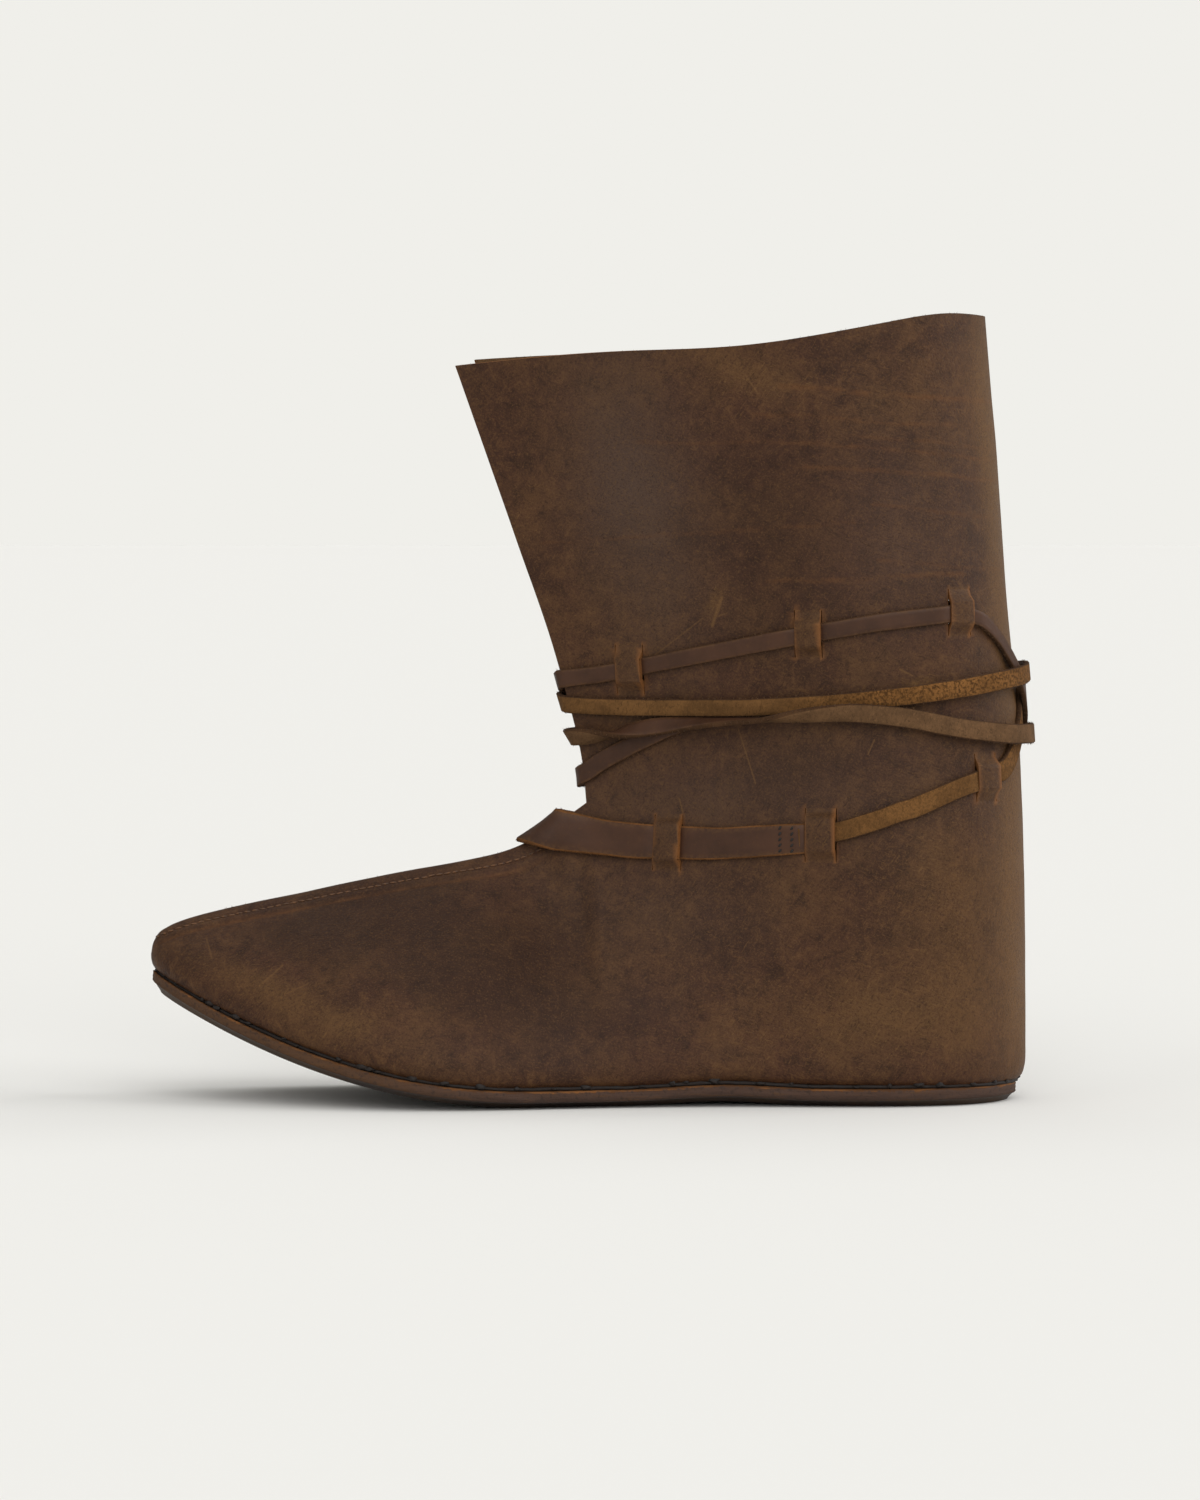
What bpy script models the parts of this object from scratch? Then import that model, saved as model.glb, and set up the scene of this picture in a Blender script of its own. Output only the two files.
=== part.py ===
"""A left leather boot of the turn-sewn kind: a one-piece upper with a seam along the vamp, a single
leather sole, an insole, an instep strap and two laces that are wound round the ankle.

The boot stands on its sole, toe towards -X, heel towards +X, its outer side towards -Y, +Z up.
Sizes and tables are in millimetres, and MM turns them into metres where a mesh is made.
Places round the boot are given by a girth coordinate: 0 at the toe, 1 at the back of the heel,
and 2 at the toe again, so 0 to 1 is the outer half and 1 to 2 the inner half.
"""

import math
from collections import namedtuple

import bmesh
import bpy
import numpy as np
from mathutils import Matrix, Vector

MM = 0.001

# Driving sizes
WALL = 2.0
FLOOR_Z = -1.5
SOLE_THICK = 5.9
SOLE_EDGE = 3.5
SOLE_ROUNDING = 9.0
INSOLE_THICK = 2.0
SEAT_GAP = 0.3
TOE_X = -145.0
TOE_SPRING = 36.5
SPRING_FROM_X = -15.0
ARCH_RISE = 1.3
ARCH_FROM_X = 10.0
ARCH_TO_X = 78.0
THROAT_SHARE = 0.52
NOTCH_SHARE = 0.485
ANKLE_Z = 96.0
BEAK = 2.8
TURN_IN = 3.0
TURN_RISE = 10.0
INSOLE_INSET = 6.6

# Strap and lace stock
LACE_WIDE = 6.5
LACE_THICK = 1.4
STRAP_THICK = 1.6
LACE_LIFT = 0.35 + LACE_THICK / 2
SECOND_LAYER = LACE_LIFT + LACE_THICK + 0.4
THIRD_LAYER = SECOND_LAYER + LACE_THICK + 0.4

# Belt loops: two slits in the upper and the leather between them
LOOP_THICK = 1.8
LOOP_CLEAR = 0.7
LOOP_ROOT = 4.0
LOOP_RAMP = 3.2
SLIT_WIDE = 1.2

# The middle of the boot's box, above the floor at FLOOR_Z, which becomes the origin
BOX_MIDDLE_X = 1.28
BOX_MIDDLE_Y = -0.32

# Bulge of the upper in plan: share of the half girth, x, y of the outer half, y of the inner half
Outline = namedtuple("Outline", "share x outer inner")
OUTLINE = [
    Outline(0.000, -145.0, 7.0, 7.0),
    Outline(0.040, -141.5, -2.5, 16.0),
    Outline(0.100, -130.5, -13.5, 26.0),
    Outline(0.190, -107.0, -30.0, 38.0),
    Outline(0.290, -77.0, -44.5, 46.5),
    Outline(0.380, -47.0, -49.0, 47.5),
    Outline(0.460, -17.0, -43.5, 39.5),
    Outline(0.520, 5.0, -38.5, 33.5),
    Outline(0.610, 35.0, -34.5, 30.0),
    Outline(0.710, 68.0, -34.0, 32.0),
    Outline(0.810, 101.0, -34.5, 34.5),
    Outline(0.890, 125.0, -28.5, 28.5),
    Outline(0.955, 139.0, -15.5, 15.5),
    Outline(1.000, 144.4, 0.0, 0.0),
]

# Seam along the top of the vamp: its place, and how steeply each half climbs to it
Crest = namedtuple("Crest", "share x y z climb_deg")
CREST = [
    Crest(0.000, -140.5, 7.0, 54.0, 30.0),
    Crest(0.040, -136.5, 6.8, 56.0, 32.0),
    Crest(0.100, -124.5, 6.2, 59.6, 36.0),
    Crest(0.190, -102.0, 5.0, 64.6, 40.0),
    Crest(0.290, -74.0, 3.6, 70.6, 42.0),
    Crest(0.380, -47.0, 2.2, 75.8, 45.0),
    Crest(0.440, -27.5, 1.2, 80.0, 52.0),
    Crest(0.485, -14.0, 0.4, 86.5, 62.0),
    Crest(0.520, -0.5, 0.0, 96.0, 80.0),
]

# Level sections of the shaft: front edge of each half, back, and the half widths
Level = namedtuple("Level", "z outer_front inner_front back outer_wide inner_wide")
LEVELS = [
    Level(96.0, -0.5, -0.5, 143.0, 36.0, 36.0),
    Level(112.0, -2.2, -2.0, 142.2, 35.0, 35.0),
    Level(130.0, -6.5, -6.0, 141.0, 34.5, 34.5),
    Level(150.0, -12.2, -11.2, 139.2, 35.5, 35.5),
    Level(175.0, -20.8, -18.6, 137.0, 36.8, 36.8),
    Level(207.0, -32.0, -27.6, 134.6, 38.0, 38.0),
    Level(258.0, -50.0, -42.0, 130.4, 39.0, 39.0),
]

# How far the sole's edge lies inside the bulge outline
Inset = namedtuple("Inset", "share inset")
INSETS = [Inset(0.0, 0.9), Inset(0.12, 0.5), Inset(0.5, 0.4), Inset(0.86, 0.6), Inset(1.0, 3.2)]

# Height of the collar along the shaft
Collar = namedtuple("Collar", "x outer_z inner_z")
COLLAR = [
    Collar(-46.0, 239.6, 241.2),
    Collar(-10.0, 242.8, 243.6),
    Collar(17.0, 244.4, 244.8),
    Collar(50.0, 246.7, 246.4),
    Collar(76.0, 250.0, 249.4),
    Collar(102.0, 254.4, 254.0),
    Collar(119.0, 256.3, 256.1),
    Collar(131.0, 256.0, 256.0),
]
SECTION_POWER = 1.2

# Belt loops on each half: middle of the loop, width of its band, length of its slits,
# and how thick the strap or lace is that runs under it
Loop = namedtuple("Loop", "name x z band slit under")
LOOPS = [
    Loop("upper_front", 13.8, 140.4, 10.5, 18.0, LACE_THICK),
    Loop("upper_middle", 71.4, 152.3, 8.6, 16.0, LACE_THICK),
    Loop("upper_back", 120.7, 159.4, 8.2, 17.0, LACE_THICK),
    Loop("lower_front", 26.3, 83.8, 10.0, 20.0, STRAP_THICK),
    Loop("lower_middle", 75.5, 87.2, 10.4, 18.0, LACE_THICK),
    Loop("lower_back", 129.6, 105.6, 8.6, 18.0, LACE_THICK),
]

# Routes of the strap and the laces: which half, x on it, height, lift of the band's middle, width
ROUTE_STEP = 7
GIRTH = 330.0
Route = namedtuple("Route", "half x z lift wide")
ONE = LACE_LIFT
TWO = SECOND_LAYER
THREE = THIRD_LAYER
STRAP_LIFT = 0.35 + STRAP_THICK / 2
STRAP_ACROSS = (-1, -0.5, 0, 0.5, 1)
STRAP_ROUTE = [
    Route("inner", 67.0, 85.8, STRAP_LIFT, 10.0),
    Route("inner", 43.0, 83.8, STRAP_LIFT, 10.5),
    Route("inner", 17.0, 84.0, STRAP_LIFT + 0.2, 11.5),
    Route("inner", 4.0, 85.2, STRAP_LIFT + 0.9, 12.0),
    Route("inner", -8.0, 86.2, STRAP_LIFT + 2.0, 12.0),
    Route("front", 0.0, 87.0, STRAP_LIFT + 1.6, 12.4),
    Route("outer", -8.0, 86.2, STRAP_LIFT + 1.4, 12.2),
    Route("outer", 4.0, 85.2, STRAP_LIFT + 0.9, 12.0),
    Route("outer", 17.0, 84.0, STRAP_LIFT + 0.2, 11.5),
    Route("outer", 43.0, 83.8, STRAP_LIFT, 10.5),
    Route("outer", 67.0, 85.8, STRAP_LIFT, 10.0),
]
OUTER_ROUTE = [
    Route("outer", 68.4, 86.0, ONE, LACE_WIDE),
    Route("outer", 82.0, 88.4, ONE, LACE_WIDE),
    Route("outer", 105.0, 96.0, ONE, LACE_WIDE),
    Route("outer", 121.0, 103.0, ONE, LACE_WIDE),
    Route("outer", 129.6, 105.6, ONE, LACE_WIDE),
    Route("outer", 135.5, 108.0, ONE, LACE_WIDE),
    Route("back", 0.0, 128.5, ONE, LACE_WIDE),
    Route("inner", 133.5, 153.0, ONE, LACE_WIDE),
    Route("inner", 127.5, 158.4, ONE, LACE_WIDE),
    Route("inner", 120.7, 159.4, ONE, LACE_WIDE),
    Route("inner", 95.0, 156.4, ONE, LACE_WIDE),
    Route("inner", 71.4, 152.3, ONE, LACE_WIDE),
    Route("inner", 37.0, 145.2, ONE, LACE_WIDE),
    Route("inner", 13.8, 140.4, ONE, LACE_WIDE),
    Route("inner", 6.0, 138.0, ONE, LACE_WIDE),
    Route("front", 0.0, 129.0, ONE, LACE_WIDE),
    Route("outer", 8.0, 128.0, TWO, LACE_WIDE),
    Route("outer", 56.0, 128.2, TWO, LACE_WIDE),
    Route("outer", 96.0, 131.4, TWO, LACE_WIDE),
    Route("outer", 122.0, 135.0, TWO, LACE_WIDE),
    Route("outer", 132.0, 137.0, THREE, LACE_WIDE),
    Route("back", 0.0, 139.6, THREE, LACE_WIDE),
    Route("inner", 132.0, 139.0, THREE, LACE_WIDE),
    Route("inner", 118.0, 136.0, TWO, LACE_WIDE),
    Route("inner", 90.0, 131.0, THREE, LACE_WIDE),
    Route("inner", 40.0, 117.0, THREE, LACE_WIDE),
    Route("inner", 20.0, 110.0, TWO, LACE_WIDE),
    Route("front", 0.0, 104.5, ONE, LACE_WIDE),
    Route("outer", 5.0, 107.5, ONE, LACE_WIDE),
    Route("outer", 17.0, 114.6, ONE, LACE_WIDE),
    Route("outer", 32.0, 119.0, ONE, LACE_WIDE),
]
INNER_ROUTE = [
    Route("inner", 68.4, 86.0, ONE, LACE_WIDE),
    Route("inner", 82.0, 88.4, ONE, LACE_WIDE),
    Route("inner", 105.0, 96.0, ONE, LACE_WIDE),
    Route("inner", 121.0, 103.0, ONE, LACE_WIDE),
    Route("inner", 129.6, 105.6, ONE, LACE_WIDE),
    Route("inner", 135.5, 108.0, ONE, LACE_WIDE),
    Route("inner", 140.6, 121.0, TWO, LACE_WIDE),
    Route("back", 0.0, 128.5, TWO, LACE_WIDE),
    Route("outer", 139.6, 136.0, TWO, LACE_WIDE),
    Route("outer", 133.5, 153.0, ONE, LACE_WIDE),
    Route("outer", 127.5, 158.4, ONE, LACE_WIDE),
    Route("outer", 120.7, 159.4, ONE, LACE_WIDE),
    Route("outer", 95.0, 156.4, ONE, LACE_WIDE),
    Route("outer", 71.4, 152.3, ONE, LACE_WIDE),
    Route("outer", 37.0, 145.2, ONE, LACE_WIDE),
    Route("outer", 13.8, 140.4, ONE, LACE_WIDE),
    Route("outer", 4.0, 138.4, ONE, LACE_WIDE),
    Route("front", 0.0, 136.6, TWO, LACE_WIDE),
    Route("inner", 5.0, 128.5, TWO, LACE_WIDE),
    Route("inner", 14.0, 126.6, TWO, LACE_WIDE),
    Route("inner", 32.0, 126.2, TWO, LACE_WIDE),
    Route("inner", 42.0, 125.8, ONE, LACE_WIDE),
    Route("inner", 60.0, 125.0, ONE, LACE_WIDE),
    Route("inner", 112.0, 120.6, ONE, LACE_WIDE),
    Route("inner", 126.0, 119.4, TWO, LACE_WIDE),
    Route("inner", 134.0, 118.8, THREE, LACE_WIDE),
    Route("back", 0.0, 118.0, THREE, LACE_WIDE),
    Route("outer", 134.0, 118.8, THREE, LACE_WIDE),
    Route("outer", 116.0, 120.0, TWO, LACE_WIDE),
    Route("outer", 96.0, 121.2, TWO, LACE_WIDE),
    Route("outer", 56.0, 121.0, TWO, LACE_WIDE),
    Route("outer", 22.0, 118.6, TWO, LACE_WIDE),
    Route("outer", 5.0, 117.8, TWO, LACE_WIDE),
    Route("front", 0.0, 117.4, TWO, LACE_WIDE),
    Route("inner", 6.0, 118.6, ONE, LACE_WIDE),
    Route("inner", 20.0, 121.0, ONE, LACE_WIDE),
]

# Rows and columns of the upper's mesh
FOOT_ROWS = (0.0, 0.03, 0.07, 0.12, 0.2, 0.3, 0.42, 0.55, 0.68, 0.83, 1.0)
VAMP_COLUMNS = 19
SHAFT_COLUMNS = 17
SHAFT_ROWS = 10

LEATHER = ("oiled_leather", (0.064, 0.041, 0.027), 0.62)
SOLE_LEATHER = ("sole_leather", (0.075, 0.042, 0.028), 0.7)
FLESH_LEATHER = ("flesh_side_leather", (0.16, 0.085, 0.035), 0.9)
LACE_LEATHER = ("lace_leather", (0.10, 0.052, 0.026), 0.75)


class Curve:
    """A smooth curve through values: natural at its ends, or closed where a period is given."""

    def __init__(self, knots, values, period=None):
        self.period = period
        if period:
            knots = list(knots) + [knots[0] + period]
            values = list(values) + [values[0]]
        self.knots = np.asarray(knots, float)
        self.values = np.asarray(values, float)
        self.step = np.diff(self.knots)
        self.bend = self.bends(np.diff(self.values) / self.step)

    def bends(self, rise):
        count = len(self.knots)
        step = self.step
        system = np.zeros((count, count))
        known = np.zeros(count)
        for k in range(1, count - 1):
            system[k, k - 1 : k + 2] = step[k - 1], 2 * (step[k - 1] + step[k]), step[k]
            known[k] = 6 * (rise[k] - rise[k - 1])
        system[0, 0] = system[-1, -1] = 1
        if self.period:
            system[0, -1] = -1
            system[-1, 0:2] = 2 * step[0], step[0]
            system[-1, -2:] = step[-1], 2 * step[-1]
            known[-1] = 6 * (rise[0] - rise[-1])
        return np.linalg.solve(system, known)

    def __call__(self, at):
        if self.period:
            at = (at - self.knots[0]) % self.period + self.knots[0]
        k = min(max(int(np.searchsorted(self.knots, at)) - 1, 0), len(self.step) - 1)
        a = (self.knots[k + 1] - at) / self.step[k]
        b = 1 - a
        bow = (a**3 - a) * self.bend[k] + (b**3 - b) * self.bend[k + 1]
        value = a * self.values[k] + b * self.values[k + 1] + bow * self.step[k] ** 2 / 6
        return float(value)


def curves(table):
    """A curve for each column of a table, over its first column."""
    names = table[0]._fields
    knots = [row[0] for row in table]
    return {name: Curve(knots, [getattr(row, name) for row in table]) for name in names[1:]}


INNER_ROWS = OUTLINE[-2:0:-1]
GIRTHS = [row.share for row in OUTLINE] + [2 - row.share for row in INNER_ROWS]
OUTLINE_X = Curve(GIRTHS, [row.x for row in OUTLINE + INNER_ROWS], 2.0)
OUTLINE_Y = Curve(GIRTHS, [row.outer for row in OUTLINE] + [row.inner for row in INNER_ROWS], 2.0)
CREST_CURVES = curves(CREST)
LEVEL_CURVES = curves(LEVELS)
COLLAR_CURVES = curves(COLLAR)


def ease(t):
    t = min(1.0, max(0.0, t))
    return t * t * (3 - 2 * t)


def outline(girth):
    """Bulge of the upper in plan at a girth coordinate."""
    return Vector((OUTLINE_X(girth), OUTLINE_Y(girth)))


def inset_outline(girth, inset):
    """The bulge outline moved in by the inset, square to itself."""
    small = 0.002
    along = (outline(girth + small) - outline(girth - small)).normalized()
    return outline(girth) + Vector((-along.y, along.x)) * inset


def half_share(girth):
    return girth if girth <= 1 else 2 - girth


def side_of(girth):
    """-1 on the outer half and +1 on the inner half."""
    return -1 if girth <= 1 else 1


def sole_rise(x):
    """Height of the sole's underside: the toe's spring, the flats and the low arch between them."""
    if x < SPRING_FROM_X:
        return FLOOR_Z + TOE_SPRING * ((SPRING_FROM_X - x) / (SPRING_FROM_X - TOE_X)) ** 2
    if ARCH_FROM_X < x < ARCH_TO_X:
        turn = 2 * math.pi * (x - ARCH_FROM_X) / (ARCH_TO_X - ARCH_FROM_X)
        return FLOOR_Z + ARCH_RISE * (1 - math.cos(turn)) / 2
    return FLOOR_Z


def feather_z(x):
    """Height of the upper's lower edge, just clear of the sole's top."""
    return sole_rise(x) + SOLE_THICK + SEAT_GAP


def shaft_point(girth, z):
    """Outer face of the shaft: a drop-shaped section, its point at the front edges."""
    half = "outer" if side_of(girth) < 0 else "inner"
    swing = math.sin(math.pi / 2 * (half_share(girth) - THROAT_SHARE) / (1 - THROAT_SHARE))
    back_share = min(1.0, (swing + swing * swing) / 2)
    front = LEVEL_CURVES[half + "_front"](z)
    x = front + (LEVEL_CURVES["back"](z) - front) * back_share
    widest_at = SECTION_POWER / (SECTION_POWER + 0.5)
    widest = widest_at**SECTION_POWER * math.sqrt(1 - widest_at)
    swell = back_share**SECTION_POWER / widest
    y = math.sqrt(1 - back_share) * (BEAK + LEVEL_CURVES[half + "_wide"](z) * swell)
    return Vector((x, side_of(girth) * y, z))


def collar_z(girth):
    half = "outer" if side_of(girth) < 0 else "inner"
    return COLLAR_CURVES[half + "_z"](shaft_point(girth, COLLAR[0].outer_z).x)


def foot_top(girth):
    """Upper end of a foot column and its direction there: the vamp's crest, or the ankle."""
    share = half_share(girth)
    if share > THROAT_SHARE - 1e-6:
        place = shaft_point(girth, ANKLE_Z)
        return place, (shaft_point(girth, ANKLE_Z + 1) - place).normalized()
    place = Vector([CREST_CURVES[axis](share) for axis in "xyz"])
    climb = math.radians(CREST_CURVES["climb_deg"](share))
    inwards = (place.xy - outline(girth)).normalized() * math.cos(climb)
    if share > NOTCH_SHARE:
        place.y = side_of(girth) * BEAK
    return place, Vector((inwards.x, inwards.y, math.sin(climb)))


def foot_point(girth, rise):
    """Outer face of the foot from the feather edge, rise 0, to the crest or ankle, rise 1."""
    top, top_way = foot_top(girth)
    edge = outline(girth)
    foot = edge.to_3d()
    foot.z = feather_z(inset_outline(girth, TURN_IN).x)
    pull = (top - foot).length
    a, b = rise, 1 - rise
    place = foot * (b * b * (1 + 2 * a)) + top * (a * a * (1 + 2 * b))
    place += Vector((0, 0, pull)) * (a * b * b) - top_way * (pull * a * a * b)
    turn_rise = min(TURN_RISE, 0.45 * (top.z - foot.z))
    short = min(1.0, max(0.0, 1 - (place.z - foot.z) / turn_rise))
    inset = TURN_IN * (1 - math.sqrt(1 - short**2))
    return place + (inset_outline(girth, inset) - edge).to_3d()


def new_object(name, bm, material):
    """A named object of the boot, with its outside shaded smooth."""
    mesh = bpy.data.meshes.new(name)
    bm.to_mesh(mesh)
    bm.free()
    mesh.shade_smooth()
    made = bpy.data.objects.new(name, mesh)
    bpy.context.scene.collection.objects.link(made)
    made.parent = bpy.data.objects["boot"]
    if material:
        mesh.materials.append(bpy.data.materials[material[0]])
    return made


def add_grid(bm, columns, rows, place):
    """A sheet of the given columns and rows, each corner put where place says."""
    made = bmesh.ops.create_grid(
        bm, x_segments=len(columns) - 1, y_segments=len(rows) - 1, size=0.5
    )
    for vertex in made["verts"]:
        i = round((vertex.co.x + 0.5) * (len(columns) - 1))
        j = round((vertex.co.y + 0.5) * (len(rows) - 1))
        vertex.co = place(columns[i], rows[j]) * MM


def thicken(made, thickness, offset):
    wall = made.modifiers.new("thickness", "SOLIDIFY")
    wall.thickness = thickness * MM
    wall.offset = offset
    wall.use_even_offset = True


def weld(bm):
    bmesh.ops.remove_doubles(bm, verts=bm.verts, dist=1e-6)
    bmesh.ops.recalc_face_normals(bm, faces=bm.faces)


def upper_columns():
    """Girth coordinates of the upper's mesh columns, once round from toe to toe."""
    vamp = [THROAT_SHARE * (k / VAMP_COLUMNS) ** 1.1 for k in range(VAMP_COLUMNS)]
    shaft = np.linspace(THROAT_SHARE, 1.0, SHAFT_COLUMNS + 1)
    outer = vamp + list(shaft)
    return outer + [2 - share for share in reversed(outer[:-1])]


def make_upper():
    girths = upper_columns()
    shaft_girths = [g for g in girths if THROAT_SHARE - 1e-9 <= g <= 2 - THROAT_SHARE + 1e-9]
    heights = np.linspace(0, 1, SHAFT_ROWS + 1)

    def shaft_place(girth, height):
        return shaft_point(girth, ANKLE_Z + (collar_z(girth) - ANKLE_Z) * height)

    bm = bmesh.new()
    add_grid(bm, girths, FOOT_ROWS, foot_point)
    add_grid(bm, shaft_girths, heights, shaft_place)
    weld(bm)
    upper = new_object("upper", bm, LEATHER)
    thicken(upper, WALL, -1)
    return upper


Row = namedtuple("Row", "across inset z")


def bent_plate(name, inset_of, rows, material):
    """A closed plate with the boot's outline, bent like the sole; the rows go once round its section.

    A row's own inset is for the middle of the boot and is less at the toe and the heel.
    """
    shares = [(1 - math.cos(math.pi * k / 32)) / 2 for k in range(33)]

    def place(share, row):
        inset = inset_of(share) + row.inset * (0.3 + 0.7 * math.sin(math.pi * share))
        flat = inset_outline(share, inset).lerp(inset_outline(2 - share, inset), row.across)
        return Vector((flat.x, flat.y, sole_rise(flat.x) + row.z))

    bm = bmesh.new()
    add_grid(bm, shares, rows, place)
    weld(bm)
    return new_object(name, bm, material)


def make_sole():
    """The outsole: a flat bottom that rounds up to a thinner edge."""
    acrosses = np.linspace(0, 1, 5)
    edge_z = SOLE_THICK - SOLE_EDGE
    rows = [Row(across, 0.0, SOLE_THICK) for across in acrosses]
    rows.append(Row(1.0, 0.0, edge_z))
    rows += [Row(across, SOLE_ROUNDING, 0.0) for across in reversed(acrosses)]
    rows += [Row(0.0, 0.0, edge_z), rows[0]]
    sole = bent_plate("outsole", curves(INSETS)["inset"], rows, SOLE_LEATHER)
    soften = sole.modifiers.new("edges", "BEVEL")
    soften.width = 0.7 * MM
    soften.segments = 1
    soften.limit_method = "ANGLE"
    soften.angle_limit = math.radians(60)


def make_insole():
    acrosses = np.linspace(0, 1, 5)
    under = SOLE_THICK + SEAT_GAP
    rows = [Row(across, 0.0, under + INSOLE_THICK) for across in acrosses]
    rows += [Row(across, 0.0, under) for across in reversed(acrosses)]
    rows.append(rows[0])
    bent_plate("insole", lambda share: INSOLE_INSET, rows, FLESH_LEATHER)


class Rings:
    """Level rings round the boot's outer face, on which the strap and the laces lie."""

    def __init__(self):
        self.halves = [self.half_columns(False), self.half_columns(True)]

    def half_columns(self, inner):
        """Columns of one half from the vamp to the back, each as xs, ys and heights."""
        columns = []
        for share in np.linspace(0.40, 1.0, 61):
            girth = 2 - share if inner else share
            points = [foot_point(girth, rise) for rise in np.linspace(0.35, 1, 30)]
            if share >= THROAT_SHARE:
                points += [shaft_point(girth, z) for z in np.linspace(ANKLE_Z + 2, 190, 40)]
            columns.append(np.array([tuple(point) for point in points]).T)
        return columns

    def half_ring(self, z, inner):
        """One half of the leather's section at this height, from its front to its back."""
        reached = [half for half in self.halves[inner] if half[2][-1] > z]
        points = [(np.interp(z, zs, xs), np.interp(z, zs, ys)) for xs, ys, zs in reached]
        if z < ANKLE_Z:
            xs, ys, zs = np.array([half[:, -1] for half in self.halves[inner]]).T
            last = int(np.argmax(zs > z)) + 1
            points.insert(0, (np.interp(z, zs[:last], xs[:last]), np.interp(z, zs[:last], ys[:last])))
        points = np.array(points)
        beside = points[:-1, 1]
        points[:-1, 1] = np.maximum(beside, BEAK) if inner else np.minimum(beside, -BEAK)
        return points

    def ring(self, z, lift):
        """The closed ring off the leather, and the distance along it of each of its points."""
        outer = self.half_ring(z, False)
        flat = np.vstack([outer, self.half_ring(z, True)[-2::-1]])
        ahead = np.gradient(flat, axis=0)
        outwards = np.stack([ahead[:, 1], -ahead[:, 0]], axis=1)
        outwards /= np.linalg.norm(outwards, axis=1)[:, None]
        lifted = flat + outwards * lift
        closed = np.vstack([lifted, self.cap(lifted[-1], lifted[0]), lifted[:1]])
        lengths = np.linalg.norm(np.diff(closed, axis=0), axis=1)
        return closed, np.concatenate([[0], np.cumsum(lengths)]), len(outer)

    def cap(self, last, first):
        """Half circle round the front edges, from the inner half's end to the outer half's start."""
        middle = (last + first) / 2
        arm = (last - first) / 2
        ahead = np.array([-abs(arm[1]), 0.0])
        turns = np.linspace(0, math.pi, 9)[1:-1]
        return np.array([middle + arm * math.cos(a) + ahead * math.sin(a) for a in turns])

    def share_of(self, row):
        """How far round its ring, 0 to 1, a row of a route lies."""
        closed, along, count = self.ring(row.z, row.lift)
        if row.half == "front":
            return 1 - (along[-1] - along[2 * count - 2]) / along[-1] / 2
        if row.half == "back":
            return along[count - 1] / along[-1]
        if row.half == "outer":
            return np.interp(row.x, closed[:count, 0], along[:count]) / along[-1]
        inner = slice(count - 1, 2 * count - 1)
        return np.interp(row.x, closed[inner, 0][::-1], along[inner][::-1]) / along[-1]

    def point(self, share, z, lift):
        closed, along, _ = self.ring(z, lift)
        at = (share % 1) * along[-1]
        return Vector((np.interp(at, along, closed[:, 0]), np.interp(at, along, closed[:, 1]), z))

    def nearest(self, place, lift):
        """The point of the ring at this place's height that is nearest to it."""
        closed = self.ring(place.z, lift)[0]
        starts = closed[:-1]
        spans = np.diff(closed, axis=0)
        towards = np.array(place.xy) - starts
        shares = np.clip((towards * spans).sum(1) / (spans * spans).sum(1), 0, 1)
        points = starts + spans * shares[:, None]
        best = np.argmin(np.linalg.norm(points - np.array(place.xy), axis=1))
        return Vector((points[best][0], points[best][1], place.z))


def route_samples(rings, route, way):
    """Evenly spread places along a route, as rows of share, height, lift and width."""
    rows = []
    for row in route:
        share = rings.share_of(row)
        if rows:
            turns = (rows[-1][0] - share) * way
            share += way * math.ceil(turns - 1e-6)
        rows.append((share, row.z, row.lift, row.wide))
    rows = np.array(rows)
    gaps = np.hypot(np.diff(rows[:, 0]) * GIRTH, np.diff(rows[:, 1]))
    along = np.concatenate([[0], np.cumsum(gaps)])
    fine = np.linspace(0, along[-1], int(along[-1]) + 1)
    dense = np.stack([np.interp(fine, along, rows[:, k]) for k in range(4)], axis=1)
    reach = 7
    window = np.hanning(2 * reach + 3)[1:-1]
    window /= window.sum()
    ends = [np.vstack([dense[:1]] * reach), np.vstack([dense[-1:]] * reach)]
    padded = np.vstack([ends[0], dense, ends[1]])
    for k in range(1, 4):
        dense[:, k] = np.convolve(padded[:, k], window, "valid")
    kept = [dense[0]]
    since = 0
    for sample in dense[1:-1]:
        since += 1
        from_front = abs((sample[0] + 0.5) % 1 - 0.5) * GIRTH
        from_back = abs(sample[0] % 1 - 0.5) * GIRTH
        if since >= (2 if from_front < 16 else 4 if from_back < 40 else ROUTE_STEP):
            kept.append(sample)
            since = 0
    return kept + [dense[-1]]


def make_band(rings, name, route, way, thick, acrosses, material):
    """A flat band along a route, lying on the leather from edge to edge."""
    samples = route_samples(rings, route, way)
    middles = [rings.point(*sample[:3]) for sample in samples]
    last = len(samples) - 1

    def place(k, across):
        middle = middles[k]
        lift, wide = samples[k][2:]
        ahead = middles[min(k + 1, last)] - middles[max(k - 1, 0)]
        rise = Vector((0, 0, 1.5))
        up = rings.nearest(middle + rise, lift) - rings.nearest(middle - rise, lift)
        outwards = ahead.cross(up)
        aside = outwards.cross(ahead).normalized()
        return rings.nearest(middle + aside * (across * wide / 2), lift)

    bm = bmesh.new()
    add_grid(bm, range(len(samples)), acrosses, place)
    band = new_object(name, bm, material)
    thicken(band, thick, 0)
    return band


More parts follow.
